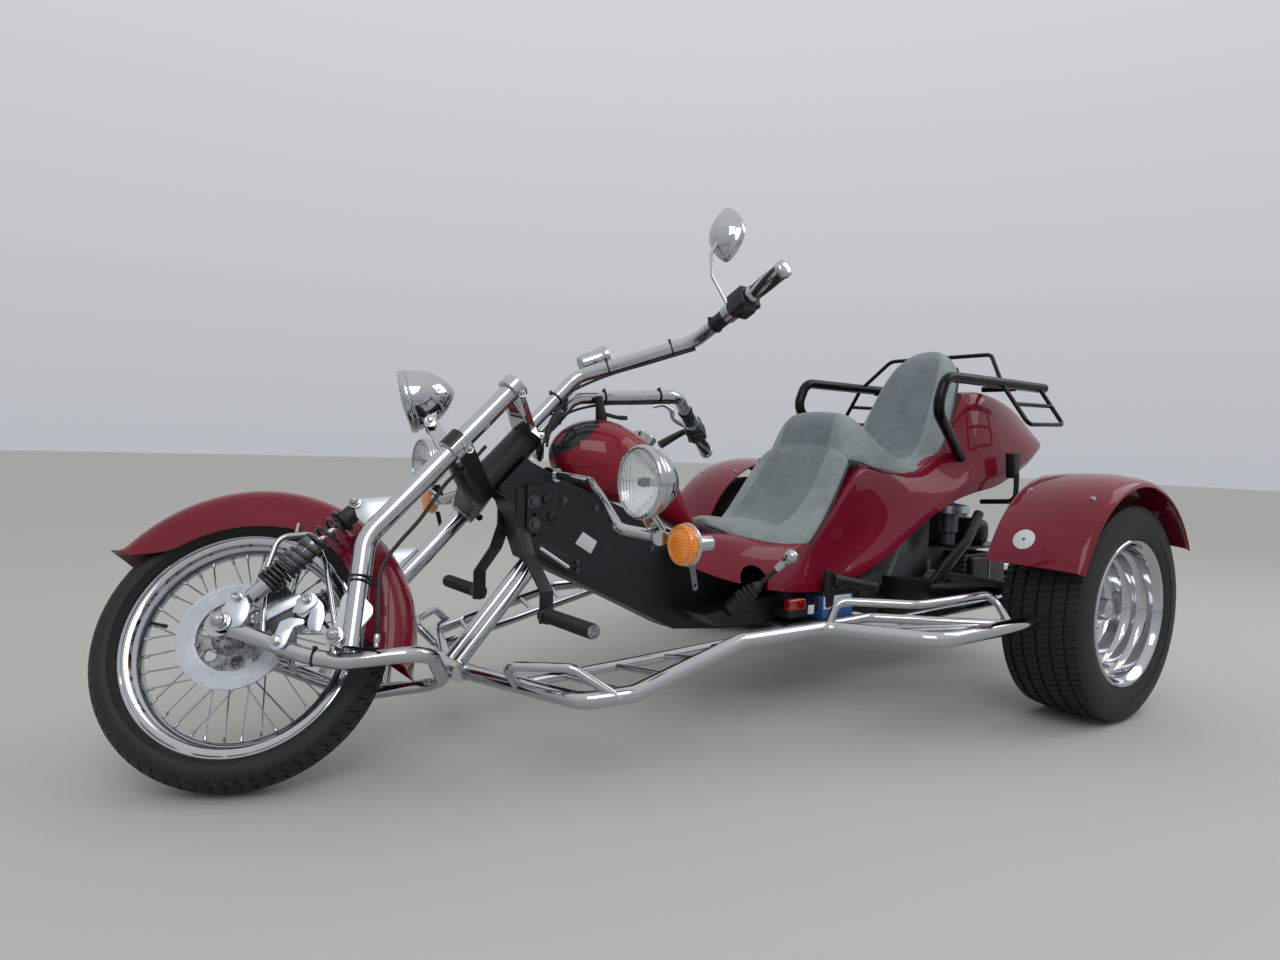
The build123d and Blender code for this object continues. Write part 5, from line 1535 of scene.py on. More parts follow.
headSizes = {
    "legCap": [(0, 24), (0, 31), (3, 33), (17, 33), (20, 31), (21, 26), (24, 22), (26, 14), (27, 0.1)],
    "clampRing": [(-30, 24), (-30, 30), (-28, 32), (12, 32), (14, 30), (14, 24)],
}


def makeHead():
    parts = []
    up = steerAxis()
    for side in (1, -1):
        parts.append(turnedPart("legCap", headSizes["legCap"], at(*legPoint(1092, side)), up, 48))
        parts.append(turnedPart("clampRing", headSizes["clampRing"], at(*legPoint(905, side)), up, 48))
        for along, ahead in ((1092, 12), (905, 8)):
            parts += acornNut(at(*steerPoint(along, ahead, 204 * side)), (0, side, 0), 14)
        parts += acornNut(at(*steerPoint(1101, -5, 30 * side)), up, 17)
    parts += acornNut(at(*steerPoint(1101, 0, 0)), up, 34)
    finishPiece(paint(joined("headFittings", parts), chrome), "fork", (), True, 30)


gripSizes = {
    "core": [(-118, 17.6), (-116, 21), (-108, 21.6), (-104, 19.5), (-100, 18.4), (-70, 19.4), (-45, 20),
             (-20, 19.4), (-8, 18.6), (-6, 21), (0, 21.6), (5, 20.6), (8, 17), (9.5, 10), (9.8, 0.1)],
    "inlays": 5, "inlayShare": 0.62, "twistDegrees": 70, "from": -99, "to": -9,
}


def makeGrips():
    sizes = gripSizes
    profile = []
    for (startAlong, startRadius), (endAlong, endRadius) in zip(sizes["core"], sizes["core"][1:]):
        count = max(1, int((endAlong - startAlong) / 4))
        profile += [(startAlong + (endAlong - startAlong) * k / count,
                     startRadius + (endRadius - startRadius) * k / count) for k in range(count)]
    profile.append(sizes["core"][-1])
    grips = []
    for side in (1, -1):
        axis = barAxis(side)
        centre = at(*barPoint(0, side))
        grip = paint(turnedPart("grip", profile, centre, axis, 60), chrome, blackRubber)
        across = axis.orthogonal().normalized()
        other = axis.cross(across)
        for face in grip.data.polygons:
            offset = face.center - centre
            along = offset.dot(axis) * 1000
            angle = math.degrees(math.atan2(offset.dot(other), offset.dot(across)))
            share = ((angle + sizes["twistDegrees"] * along / 100) / 360 * sizes["inlays"]) % 1
            if sizes["from"] < along < sizes["to"] and share < sizes["inlayShare"]:
                face.material_index = 1
        grips.append(grip)
    finishPiece(joined("gripsInlaid", grips), "fork", ("grips",), True, 40)


controlSizes = {
    # millimetres from the grip's end, then size along, across and up, edge radius, and how far under the bar
    "housing": (150, 60, 52, 54, 7, 0), "lowerHalf": (148, 46, 40, 62, 9, 6),
    "ledge": (128, 18, 58, 46, 5, 2), "clampBack": 196, "clamp": [(-13, 18), (-13, 24), (13, 24), (13, 18)],
    "buttonRise": 26, "button": [(0, 0.1), (0, 7), (6, 7), (8, 5), (8, 0.1)],
    # right hand: a bright blade lever ahead of the bar and a black tapered one under it, with their end radii
    "bladeLever": ((9, 6), [(-1134, -318, 949), (-1123, -300, 974), (-1101, -296, 992), (-1069, -296, 989)]),
    "taperedLever": ((8, 13), [(-1168, -382, 936), (-1129, -380, 918), (-1088, -380, 898)]),
}


def turnedRod(name, line, radii):
    # rod along a line, its radius changing evenly from one end to the other
    rows = []
    for index, spot in enumerate(line):
        before, after = line[max(index - 1, 0)], line[min(index + 1, len(line) - 1)]
        run = (after - before).normalized()
        side = run.cross(Vector((0, 0, 1))).normalized()
        other = run.cross(side)
        radius = radii[0] + (radii[1] - radii[0]) * index / (len(line) - 1)
        rows.append([tuple(onCircle(spot, side, other, math.tau * k / 16, radius)) for k in range(17)])
    bpy.ops.mesh.primitive_cube_add(size=1)
    rod = bpy.context.object
    rod.name = name
    count = len(rows[0])
    faces = [(r * count + k, r * count + k + 1, (r + 1) * count + k + 1, (r + 1) * count + k)
             for r in range(len(rows) - 1) for k in range(count - 1)]
    faces += [tuple(range(count - 1)), tuple((len(rows) - 1) * count + k for k in reversed(range(count - 1)))]
    rod.data.clear_geometry()
    rod.data.from_pydata([spot for row in rows for spot in row], [], faces)
    cleanMesh(rod)
    return rod


def controlBlock(name, side):
    back, along, across, up, edge, dropMm = controlSizes[name]
    block = roundedBlock(name, (along, across, up), edge)
    axis = barAxis(side)
    level = axis.cross(Vector((0, 0, 1))).normalized()
    turn = Matrix((axis, level, axis.cross(level))).transposed().to_4x4()
    block.data.transform(Matrix.Translation(at(*barPoint(back, side)) - Vector((0, 0, dropMm / 1000))) @ turn)
    return block


def makeControls():
    sizes = controlSizes
    dark, bright = [], []
    for side in (1, -1):
        dark += [controlBlock(name, side) for name in ("housing", "lowerHalf", "ledge")]
        bright.append(turnedPart("barClamp", sizes["clamp"], at(*barPoint(sizes["clampBack"], side)),
                                 barAxis(side), 32))
    for name, finish in (("bladeLever", bright), ("taperedLever", dark)):
        radii, points = sizes[name]
        finish.append(turnedRod(name, smoothCurve([barPoint(150, -1)] + points, 8), radii))
    above = Vector((0, 0, sizes["buttonRise"] / 1000))
    button = paint(turnedPart("button", sizes["button"], at(*barPoint(148)) + above, (0, 0, 1), 20),
                   redPlastic)
    parts = paintAll(dark, blackPlastic) + paintAll(bright, chrome) + [button]
    finishPiece(joined("barControls", parts), "fork", ("controls",), True, 35)


mirrorSizes = {
    "centre": (-1206, 290, 1146), "axis": (0.766, 0.635, 0.103), "long": (-0.282, 0.188, 0.941),
    "longHalf": 78, "crossHalf": 55, "roundness": 1.55, "lean": 0.16,
    # along the axis, share of the rim's size
    "shell": [(-8, 0.955), (-6, 1.0), (0, 1.0), (6, 0.985), (10, 0.95), (12, 0.86), (18, 0.8), (26, 0.68),
              (33, 0.5), (37, 0.3), (39, 0.002)],
    "glass": [(-6.5, 0.96), (-5.5, 0.93), (-5, 0.5), (-5, 0.002)],
    "stem": [(-1141, 296, 1019), (-1152, 296, 1084), (-1178, 300, 1122)],
    "stemFoot": [(-4, 14), (0, 15), (12, 12), (20, 8), (24, 6)],
    "ball": [(-12, 0.1), (-10, 7), (-4, 11), (4, 11), (10, 7), (12, 0.1)],
}


def makeMirror():
    sizes = mirrorSizes
    axis, tall = Vector(sizes["axis"]).normalized(), Vector(sizes["long"]).normalized()
    wide = axis.cross(tall).normalized()
    centre = at(*sizes["centre"])
    turn = Matrix((wide, tall, axis)).transposed().to_4x4()
    parts = []
    for name, material in (("shell", chrome), ("glass", mirrorGlass)):
        profile = [(along, share * 100) for along, share in sizes[name]]
        piece = turnedPart(name, profile, Vector((0, 0, 0)), (0, 0, 1), 64)
        power = sizes["roundness"]
        for vertex in piece.data.vertices:
            # a rounded diamond, drawn out towards its top
            x, y = vertex.co.x * 10, vertex.co.y * 10
            length = max(math.hypot(x, y), 1e-9)
            bulge = abs(x / length) ** power + abs(y / length) ** power
            reach = bulge ** (-1 / power) if length > 1e-6 else 1
            vertex.co.x = (x * reach + sizes["lean"] * y) * sizes["crossHalf"] / 1000
            vertex.co.y = y * reach * sizes["longHalf"] / 1000
        piece.data.transform(Matrix.Translation(centre) @ turn)
        cleanMesh(piece)
        parts.append(paint(piece, material))
    foot = barPoint(controlSizes["clampBack"])
    stem = [foot] + sizes["stem"]
    parts.append(paint(bentRod("stem", stem, [16, 20], 9, sides=3), chrome))
    rise = Vector(stem[1]) - Vector(foot)
    parts.append(paint(turnedPart("stemFoot", sizes["stemFoot"], at(*foot), rise, 24), blackPlastic))
    parts.append(paint(turnedPart("ball", sizes["ball"], at(-1180, 302, 1126), axis, 24), chrome))
    finishPiece(joined("mirrorHead", parts), "fork", ("mirror",), True, 45)


podSizes = {
    "from": (-826, 0, 968), "to": (-908, 0, 995),
    "shell": [(0, 0.1), (0, 22), (3, 26), (8, 27.5), (62, 27.5), (64, 29), (80, 30), (81, 28), (66, 26),
              (62, 24), (62, 0.1)],
    "dial": [(62.5, 0.1), (62.5, 24)], "glass": [(66, 25), (67, 20), (68, 0.1)],
}


def makePod():
    start, end = at(*podSizes["from"]), at(*podSizes["to"])
    parts = [paint(turnedPart(key, podSizes[key], start, end - start, steps), material)
             for key, steps,
             material in (("shell", 48, chrome), ("dial", 40, whitePaint), ("glass", 40, lensGlass))]
    parts.append(paint(bentRod("podPost", [steerPoint(1239, 0), (-862, 0, 962)], [], 18, sides=4), chrome))
    finishPiece(joined("speedometerPod", parts), "fork", ("speedometer",), True, 35)


def besideBar(side, back, dropMm=22):
    # millimetres from the outer bend towards the clamps, a little under the bar
    line = [Vector((x, y * side, z)) for x, y, z in (barLine[2], barLine[1], barLine[0])]
    for first, second in zip(line, line[1:]):
        length = (second - first).length
        if back <= length:
            return tuple(first + (second - first) * back / length - Vector((0, 0, dropMm)))
        back -= length
    return tuple(line[-1] - Vector((0, 0, dropMm)))


cableRoutes = {
    # left bar 1 or right bar -1, places along it, the points beside the neck, diameter
    "throttle": (-1, (0, 120, 240, 350, 420),
                 [(-776, -20, 850), (-748, -10, 812), (-723, 0, 773), (-712, 4, 734)], 7.5),
    "switchWires": (1, (0, 120, 240, 350, 420),
                    [(-770, 50, 833), (-748, 50, 812), (-724, 46, 776), (-714, 42, 736)], 7.5),
    "brakeLine": (-1, (350, 420), [(-762, -30, 846), (-736, -6, 806), (-716, 16, 770), (-706, 20, 738)], 7.5),
    "thinWire": (1, (390, 430), [(-758, 40, 836), (-736, 36, 806), (-714, 30, 770), (-704, 28, 736)], 5),
}
barWraps = {"ties": (60, 230, 400), "radiusMm": 20, "sleeve": (185, 258), "sleeveMm": 39, "sleeveTie": 262}


def makeBarCables():
    # cables tied along the bars, then down beside the neck
    parts = [tubeAlong(name, smoothCurve([besideBar(side, back) for back in backs] + points), diameter / 1000,
                       sides=2) for name, (side, backs, points, diameter) in cableRoutes.items()]
    for side in (1, -1):
        for back in barWraps["ties"]:
            spot, ahead = Vector(besideBar(side, back, 0)), Vector(besideBar(side, back + 4, 0))
            parts += tieLoop(at(*spot), ahead - spot, barWraps["radiusMm"])
        parts += tieLoop(at(*barPoint(barWraps["sleeveTie"], side)), barAxis(side), barWraps["radiusMm"])
        ends = [at(*barPoint(back, side)) for back in barWraps["sleeve"]]
        parts.append(tubeAlong("sleeve", ends, barWraps["sleeveMm"] / 1000, sides=10))
    finishPiece(paint(joined("barCables", parts), blackRubber), "fork", (), True, 40)


mirrorGlass = newMaterial("silveredGlass", "#D9DDE2", 1.0, 0.02)
makeHead()
makeGrips()
makeControls()
makeMirror()
makePod()
makeBarCables()
print("steering head ready")


# Frame fittings: bolts, blank plate, levers, battery and the parts between shell and wheel

frameFittings = {
    "bolts": [(-656, 58, 607, 17), (-660, 58, 549, 17), (-751, 49, 607, 13), (-850, 49, 587, 13),
              (-789, 62, 447, 9), (-789, 62, 425, 9), (-930, 49, 520, 13), (-1040, 49, 470, 13)],
    "holes": [(-659, 574), (-660, 522), (-658, 592)],
    "label": [(-812, 525), (-858, 497), (-839, 465), (-789, 495)],
    "rod": [(-676, 62, 490), (-762, 62, 436)],
    "bracket": [(-664, 505), (-700, 500), (-800, 452), (-804, 418), (-776, 416), (-674, 470)],
    "strap": [(-638, 648), (-680, 648), (-682, 470), (-640, 470)], "grommets": [(-700, 612), (-716, 566)],
    "ring": [(0, 13), (0, 17), (2.4, 17), (2.4, 13), (0, 13)],
    "grommet": [(0, 0.1), (0, 13), (6, 12), (8, 8), (8, 0.1)],
}


def makeFrameFittings():
    table = frameFittings
    bright = []
    for x, y, z, size in table["bolts"]:
        for side in (1, -1):
            bright += hexBolt(at(x, y * side, z), (0, side, 0), size)
    for x, y, z, size in table["bolts"][:2]:
        bright.append(turnedPart("ring", table["ring"], at(x, y, z), (0, 1, 0), 32))
    rod = paint(bentRod("linkRod", table["rod"], [], 10, sides=4), satinSteel)
    dark = [flatPlate("bracket", table["bracket"], 54, 10, 6),
            flatPlate("pegStrap", table["strap"], 55, 7, 4, [(x, z, 5) for x, z in table["holes"]])]
    for x, z in table["grommets"]:
        dark.append(turnedPart("grommet", table["grommet"], at(x, 48, z), (0, 1, 0), 24))
    plate = paint(flatPlate("blankPlate", table["label"], 49.2, 1.6, 3), labelWhite)
    parts = paintAll(bright, castDark) + [rod] + paintAll(dark, blackPaint) + [plate]
    finishPiece(joined("frameFittings", parts), "chassis", (), False, 30)


pegSizes = {
    "rubber": [(190, 0.1), (190, 17), (194, 18)] + [(198 + 8 * k + step, radius) for k in range(22)
                                                    for step, radius in ((0, 18), (1.4, 16.6), (5.6, 16.6),
                                                                         (7, 18))]
    + [(378, 18), (380, 17)],
    "end": [(380, 16), (385, 16), (386, 14), (386, 0.1)],
    "boss": [(172, 0.1), (172, 21), (190, 21), (192, 19), (192, 0.1)],
    "x": -630, "z": 345, "halfWide": 18,
    # (Y, Z) of the hanging bar, from the frame down to the peg
    "bar": [(48, 640), (48, 540), (88, 476), (178, 402), (178, 325)],
}


def makePegs():
    x, wide = pegSizes["x"], pegSizes["halfWide"]
    rubber, end, boss = (paint(turnedPart(key, pegSizes[key], at(x, 0, pegSizes["z"]), (0, 1, 0), 32),
                               material)
                         for key, material in (("rubber", blackRubber), ("end", alloy), ("boss", blackPaint)))
    bar = loftGrid("pegBar", [[(x + offset, y, z) for y, z in pegSizes["bar"]] for offset in (-wide, wide)])
    addModifier(bar, "SOLIDIFY", {"thickness": 0.009, "offset": 0})
    addModifier(bar, "BEVEL", {"width": 0.003, "segments": 3, "limit_method": "ANGLE", "angle_limit": 0.3})
    bothSides("footPegs", [paint(bar, blackPaint), rubber, end, boss], "chassis", None,
              ("foot_pegs",), False, 35)


leverSizes = {
    "foot": (-1236, 210, 334), "head": (-1317, 298, 450),
    "boot": [(0, 0.1), (0, 30), (6, 31), (10, 27), (16, 29), (20, 25), (30, 27), (34, 21), (44, 23), (48, 17),
             (60, 18), (66, 12), (74, 10), (74, 0.1)],
    "base": [(-40, 0.1), (-40, 26), (0, 26), (4, 20), (4, 0.1)],
    "knob": [(-6, 8), (0, 13), (10, 15), (12, 19), (22, 21), (31, 19), (37, 13), (40, 6), (40.5, 0.1)],
    "collar": [(-34, 7), (-34, 11), (-8, 12), (-6, 8)],
}
handBrake = {
    # the grip has eleven ribs between its two ends
    "grip": [(0, 0.1), (0, 16), (3, 19), (8, 19), (10, 16)]
    + [(start + 15 * k, radius) for k in range(11) for start, radius in ((14, 16.5), (20, 17.2), (25, 16.2))]
    + [(186, 17), (190, 20), (198, 20.5), (204, 18), (206, 0.1)],
    "arm": (258, 14, 6, [(-1528, 410), (-1552, 410), (-1570, 352), (-1560, 300), (-1530, 296), (-1524, 350)]),
    "quadrant": (240, 8, 8, [(-1500, 330), (-1560, 340), (-1620, 320), (-1620, 290), (-1500, 290)]),
    "rod": [(-1800, 186, 330), (-1700, 240, 300), (-1560, 246, 306)],
}


def makeLevers():
    foot, head = at(*leverSizes["foot"]), at(*leverSizes["head"])
    boot, base, knob, collar = (turnedPart(key, leverSizes[key], where, head - foot, steps) for key, where,
                                steps in (
        ("boot", foot, 40), ("base", foot, 32), ("knob", head, 40), ("collar", head, 32)))
    shaft = tubeAlong("shaft", [foot, head], 0.014, sides=3)
    parts = paintAll([boot, base, shaft], blackRubber) + paintAll([knob, collar], chrome)
    finishPiece(joined("gearLever", parts), "chassis", ("gear_lever",), False, 35)
    grip = turnedPart("brakeGrip", handBrake["grip"], at(-1556, 262, 380), (-206, 0, -42), 32)
    parts = [grip] + [plateFrom(key, handBrake[key]) for key in ("arm", "quadrant")]
    parts.append(bentRod("brakeRod", handBrake["rod"], [30], 12, sides=3))
    finishPiece(paint(joined("handBrake", parts), blackRubber), "chassis", ("hand_brake",),
                False, 35)


def bevelBox(name, low, high, edgeMm):
    # box between two corners in millimetres, with rounded edges
    box = roundedBlock(name, [abs(b - a) for a, b in zip(low, high)], edgeMm)
    box.data.transform(Matrix.Translation((at(*low) + at(*high)) / 2))
    return box


batteryBoxes = {
    # two corners, edge radius, material
    "case": ((-1655, 190, 262), (-1520, 262, 332), 3, bluePlastic),
    "lid": ((-1657, 190, 332), (-1518, 262, 344), 3, blackPlastic),
    "label": ((-1644, 260, 292), (-1522, 263, 330), 0.8, labelWhite),
    "clamp": ((-1446, 238, 300), (-1378, 264, 332), 5, redPlastic),
    "clampFoot": ((-1452, 196, 278), (-1380, 262, 304), 4, blackPlastic),
    "tag": ((-1482, 258, 284), (-1458, 262, 310), 1, labelWhite),
    "tray": ((-1670, 186, 254), (-1370, 268, 264), 2, blackPaint),
}


def makeBattery():
    parts = [paint(bevelBox(name, low, high, edge), material)
             for name, (low, high, edge, material) in batteryBoxes.items()]
    posts = [turnedPart("post", [(0, 8), (10, 7), (11, 0.1)], at(x, 215, 343), (0, 0, 1),
                        20) for x in (-1540, -1636)]
    finishPiece(joined("batteryCase", parts + paintAll(posts, alloy)), "chassis",
                ("battery",), False, 35)


sideFrameSizes = {
    # plates: Y of the middle, thickness, corner radius, then (X, Z) once round
    "box": (262, 76, 3, [(-1839, 368), (-2022, 351), (-2036, 284), (-1850, 286)]),
    "web": (300, 5, 3, [(-2010, 352), (-2030, 340), (-2212, 462), (-2196, 482)]),
    "latch": (314, 32, 4, [(-2448, 772), (-2400, 772), (-2411, 684), (-2438, 684)]),
    "strut": [(-2020, 290, 340), (-2200, 290, 470), (-2300, 270, 560)],
    "mount": [(0, 0.1), (0, 20), (6, 22), (12, 22), (14, 18), (14, 10), (9, 9), (9, 0.1)],
    "mountArm": [(-2088, 306, 333), (-2040, 262, 320)],
    "latchPost": [(-2425, 330, 700), (-2425, 330, 604), (-2425, 200, 594)],
}


def makeSideFrame():
    # sheet box and strut between shell and wheel, with the rubber mount in it, and a latch on the left alone
    sizes = sideFrameSizes
    left = joined("sideFrame", [
        plateFrom("sideBox", sizes["box"]), bentRod("strut", sizes["strut"], [60], 34, sides=2),
        plateFrom("strutWeb", sizes["web"]),
        turnedPart("mount", sizes["mount"], at(-2088, 300, 333), (0, 1, 0), 32),
        bentRod("mountArm", sizes["mountArm"], [], 20, sides=3)])
    twin = mirroredCopy(left, "sideFrameRight")
    latch = [plateFrom("latch", sizes["latch"]), bentRod("latchPost", sizes["latchPost"], [30], 18, sides=3)]
    finishPiece(paint(joined("sideFrames", [left, twin] + latch), blackPaint), "chassis", (),
                False, 35)


tankTrim = {
    "capUp": (-0.46, 0, 0.89), "capOn": (-1042, 0, 780), "sunkMm": 50, "keyOn": (-893, 0, 820),
    "cap": [(30, 30), (44, 33), (50, 35), (53, 34), (55, 31), (55.5, 26), (58, 22), (59, 0.1)],
    "keyPost": [(0, 15), (4, 16), (30, 13), (62, 11), (66, 9), (66, 0.1)],
    "plug": [(-898, 6, 838), (-926, 12, 832), (-948, 14, 829)],
}


def makeTankTrim():
    # the cap sits square on the tank's falling back
    up = Vector(tankTrim["capUp"])
    spot = at(*tankTrim["capOn"]) - up * tankTrim["sunkMm"] / 1000
    parts = [turnedPart("cap", tankTrim["cap"], spot, up, 56),
             turnedPart("neck", [(0, 27), (46, 28)], spot, up, 40)]
    finishPiece(paint(joined("tankCap", parts), chrome), "chassis", ("tank_cap",), False, 35)
    parts = [turnedPart("keyPost", tankTrim["keyPost"], at(*tankTrim["keyOn"]), (10, 0, 60), 28),
             bentRod("plug", tankTrim["plug"], [20], 11, sides=3),
             bevelBox("fob", (-966, 6, 824), (-944, 22, 836), 3)]
    finishPiece(paint(joined("keyPost", parts), blackRubber), "chassis", (), False, 35)


makeFrameFittings()
makePegs()
makeLevers()
makeBattery()
makeSideFrame()
makeTankTrim()
print("frame fittings ready")


# Engine: an air-cooled flat four behind the seats, with its fan, belt and finned barrels

engineSizes = {
    "barrels": [-2386, -2512], "barrelZ": 352, "finFrom": 96, "finMm": 6.5, "fins": 14, "finRadii": (55, 46),
    # two corners, edge radius
    "castBoxes": [((-2588, -98, 252), (-2312, 98, 432), 12), ((-2560, -70, 250), (-2340, 70, 262), 4),
                  ((-2556, -26, 430), (-2500, 26, 480), 8)],
    "middleTin": ((-2592, -100, 430), (-2308, 100, 438), 2),
    # the same for the left side, mirrored for the right: head core, valve cover, cover tin and duct
    "headCore": ((-2560, 184, 296), (-2338, 204, 406), 3),
    "darkSides": [((-2556, 206, 304), (-2342, 229, 398), 9), ((-2592, 92, 428), (-2308, 228, 436), 2),
                  ((-2484, 20, 432), (-2404, 214, 532), 34)],
    "headFins": 7, "headFinPitch": 17, "headFin": ((-2572, 188, 298), (-2326, 208, 304), 1.5),
    "bail": [(-2449, 209, 300), (-2449, 231, 312), (-2449, 231, 390), (-2449, 209, 402)],
    # profile, place, axis and steps of what is round
    "castRounds": [
        ([(0, 0.1), (0, 42), (4, 46), (78, 46), (84, 40), (84, 0.1)], (-2486, 0, 516), (-1, 0, 0), 40),
        ([(0, 26), (40, 26), (44, 34), (112, 34)], (-2352, 120, 436), (0, 0, 1), 28),
        ([(0, 18), (52, 18)], (-2560, -96, 436), (0, 0, 1), 24),
    ],
    "darkRounds": [
        ([(-38, 0.1), (-38, 84), (34, 84), (38, 80), (38, 66), (30, 62), (30, 30), (36, 26), (36, 0.1)],
         (-2444, 0, 514), (-1, 0, 0), 56),
    ],
    "brightRounds": [
        ([(0, 0.1), (0, 70), (4, 70), (8, 62), (12, 70), (16, 70), (16, 24), (20, 20), (20, 0.1)],
         (-2578, 0, 334), (-1, 0, 0), 48),
        ([(0, 0.1), (0, 46), (4, 46), (8, 38), (12, 46), (16, 46), (16, 14), (22, 12), (22, 0.1)],
         (-2576, 0, 516), (-1, 0, 0), 40),
        ([(0, 0.1), (0, 66), (4, 70), (30, 70), (34, 64), (38, 20), (44, 12), (46, 0.1)],
         (-2352, 120, 548), (0, 0, 1), 48),
        ([(0, 0.1), (0, 22), (14, 22), (16, 18), (16, 0.1)], (-2560, -96, 486), (0, 0, 1), 28),
    ],
    # height and radius of each end of the belt, and the angle that it starts from
    "beltX": -2584, "belt": [(516, 44, 0), (334, 68, 180)],
    "coilLead": [(-2340, -120, 446), (-2350, -150, 520), (-2420, -120, 560)],
}


def sideBox(corners, side, rise=0):
    # a box of the left side, or its mirrored twin
    (lowX, lowY, lowZ), (highX, highY, highZ), edge = corners
    return bevelBox("engineBox", (lowX, lowY * side, lowZ + rise), (highX, highY * side, highZ + rise), edge)


def finnedBarrel(x, side):
    sizes = engineSizes
    outer, inner = sizes["finRadii"]
    profile = [(0, 0.1), (0, inner)]
    for k in range(sizes["fins"]):
        foot = 2 + k * sizes["finMm"]
        profile += [(foot, inner), (foot + 0.5, outer), (foot + 2.5, outer), (foot + 3, inner)]
    profile += [(96, inner), (96, 0.1)]
    return turnedPart("barrel", profile, at(x, sizes["finFrom"] * side, sizes["barrelZ"]), (0, side, 0), 32)


def makeEngine():
    sizes = engineSizes
    cast = [sideBox(corners, 1) for corners in sizes["castBoxes"]]
    dark = [sideBox(sizes["middleTin"], 1)]
    bright = []
    for side in (1, -1):
        cast += [finnedBarrel(x, side) for x in sizes["barrels"]]
        cast += [sideBox(sizes["headFin"], side, sizes["headFinPitch"] * k) for k in range(sizes["headFins"])]
        cast.append(sideBox(sizes["headCore"], side))
        dark += [sideBox(corners, side) for corners in sizes["darkSides"]]
        bright.append(bentRod("bail", [(x, y * side, z) for x, y, z in sizes["bail"]], [8, 8], 4, sides=2))
    for pieces, key in ((cast, "castRounds"), (dark, "darkRounds"), (bright, "brightRounds")):
        pieces += [turnedPart("engineRound", profile, at(*where), axis, steps)
                   for profile, where, axis, steps in sizes[key]]
    belt = []
    for centreZ, radius, first in sizes["belt"]:
        for k in range(13):
            angle = math.radians(first + 15 * k)
            belt.append(at(sizes["beltX"], radius * math.cos(angle), centreZ + radius * math.sin(angle)))
    dark.append(tubeAlong("belt", belt, 0.009, True, 2))
    dark.append(bentRod("coilLead", sizes["coilLead"], [40], 26, sides=4))
    for k in range(3):
        lead = [(-2420, -118, 560), (-2470, -160 + 20 * k, 560 - 14 * k), (-2480 - 20 * k, -210, 470),
                (-2400 - 36 * k, -214, 410)]
        dark.append(tubeAlong("lead", smoothCurve(lead, 8), 0.007, sides=2))
    parts = paintAll(cast, castAlloy) + paintAll(dark, blackPaint) + paintAll(bright, satinSteel)
    finishPiece(joined("engine", parts), "chassis", ("engine_block",), False, 35)


tailLampSizes = {
    "centre": (-2430, 725, 560),
    "housing": [(8, 0.1), (8, 40), (40, 46), (112, 46.5), (120, 47), (122, 45), (122, 42)],
    "lens": [(118, 43)] + [(124 + 0.6 * step, 41.5 - 5 * k - 2.5 * step) for k in range(8) for step in (0, 1)]
    + [(126, 0.1)],
    "gasket": [(44, 46), (46, 50), (54, 50), (56, 46)],
}


def makeTailLamps():
    parts = [paint(turnedPart(key, tailLampSizes[key], at(*tailLampSizes["centre"]), (-1, 0, 0), steps),
                   material)
             for key, steps,
             material in (("housing", 48, chrome), ("lens", 48, redPlastic), ("gasket", 40, blackRubber))]
    bothSides("tailLamps", parts, "chassis", None, ("tail_lamps",), False, 30)


castAlloy = newMaterial("greyCastAlloy", "#6E7072", 0.75, 0.5)
makeEngine()
makeTailLamps()
print("engine ready")


# Camera, light and floor

view = {"x": 401.1, "y": 1910.6, "z": 754.7, "yaw": -126.84, "pitch": 2.30, "roll": -1.88, "lens": 23.84}
stage = {
    "floorSize": 60, "horizon": (0.60, 0.63, 0.67, 1), "overhead": (1.0, 1.0, 1.0, 1), "skyLight": 0.8,
    # place, size and power of each soft lamp, and the height that both look at
    "lamps": [(2.5, 4.0, 4.5, 3.0, 80), (-3.5, 2.0, 4.0, 3.0, 45)], "aimZ": 0.6,
}


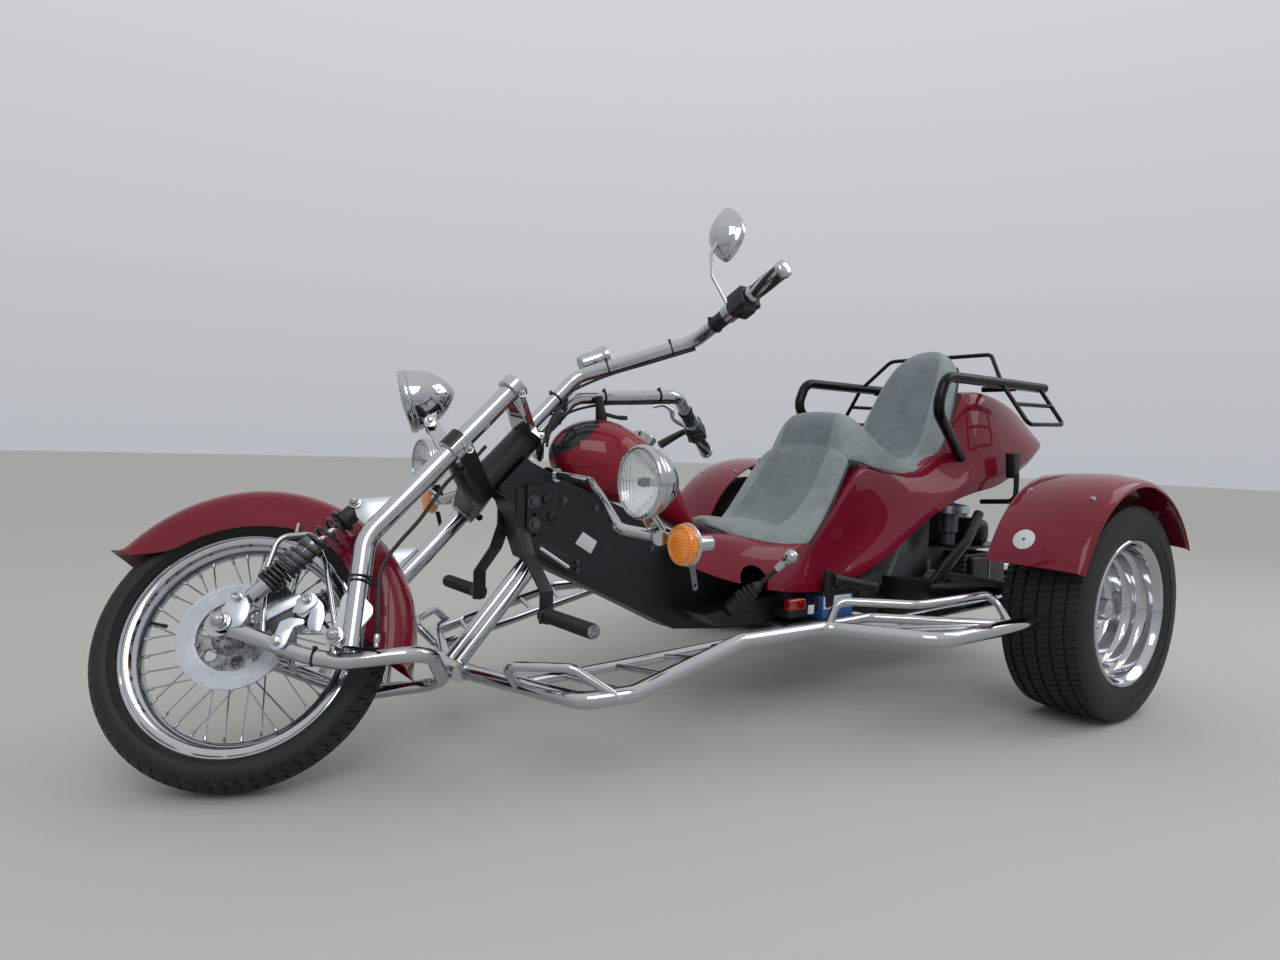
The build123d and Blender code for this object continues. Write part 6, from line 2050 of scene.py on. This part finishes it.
def addCamera():
    yaw, pitch, roll = (math.radians(view[key]) for key in ("yaw", "pitch", "roll"))
    ahead = Vector((math.cos(yaw) * math.cos(pitch), math.sin(yaw) * math.cos(pitch), -math.sin(pitch)))
    right = Vector((math.sin(yaw), -math.cos(yaw), 0))
    down = ahead.cross(right)
    across = right * math.cos(roll) + down * math.sin(roll)
    upward = right * math.sin(roll) - down * math.cos(roll)
    turn = Matrix((across, upward, -ahead)).transposed().to_4x4()
    bpy.ops.object.camera_add()
    camera = bpy.context.object
    camera.data.lens = view["lens"]
    camera.data.sensor_width = 36
    camera.matrix_world = Matrix.Translation(at(view["x"], view["y"], view["z"])) @ turn
    bpy.context.scene.camera = camera


def addStage():
    bpy.ops.mesh.primitive_plane_add(size=stage["floorSize"])
    floor = bpy.context.object
    floor.name = "floor"
    paint(floor, newMaterial("paleFloor", "#B9B9B6", 0.0, 0.9))
    world = bpy.context.scene.world or bpy.data.worlds.new("studio")
    bpy.context.scene.world = world
    world.use_nodes = True
    sky = world.node_tree
    where = sky.nodes.new("ShaderNodeTexCoord").outputs["Generated"]
    height = sky.nodes.new("ShaderNodeSeparateXYZ")
    ramp = sky.nodes.new("ShaderNodeValToRGB")
    for element, position, key in zip(ramp.color_ramp.elements, (0.5, 0.95), ("horizon", "overhead")):
        element.position, element.color = position, stage[key]
    lift = sky.nodes.new("ShaderNodeMapRange")
    lift.inputs[1].default_value = -1
    sky.links.new(where, height.inputs[0])
    sky.links.new(height.outputs["Z"], lift.inputs[0])
    sky.links.new(lift.outputs[0], ramp.inputs[0])
    sky.links.new(ramp.outputs[0], sky.nodes["Background"].inputs["Color"])
    sky.nodes["Background"].inputs["Strength"].default_value = stage["skyLight"]
    for x, y, z, size, power in stage["lamps"]:
        bpy.ops.object.light_add(type="AREA", location=(x, y, z))
        lamp = bpy.context.object
        lamp.data.size = size
        lamp.data.energy = power
        lamp.rotation_euler = Vector((-x, -y, stage["aimZ"] - z)).to_track_quat("-Z", "Y").to_euler()


addCamera()
addStage()
bpy.context.scene.view_settings.view_transform = "Standard"
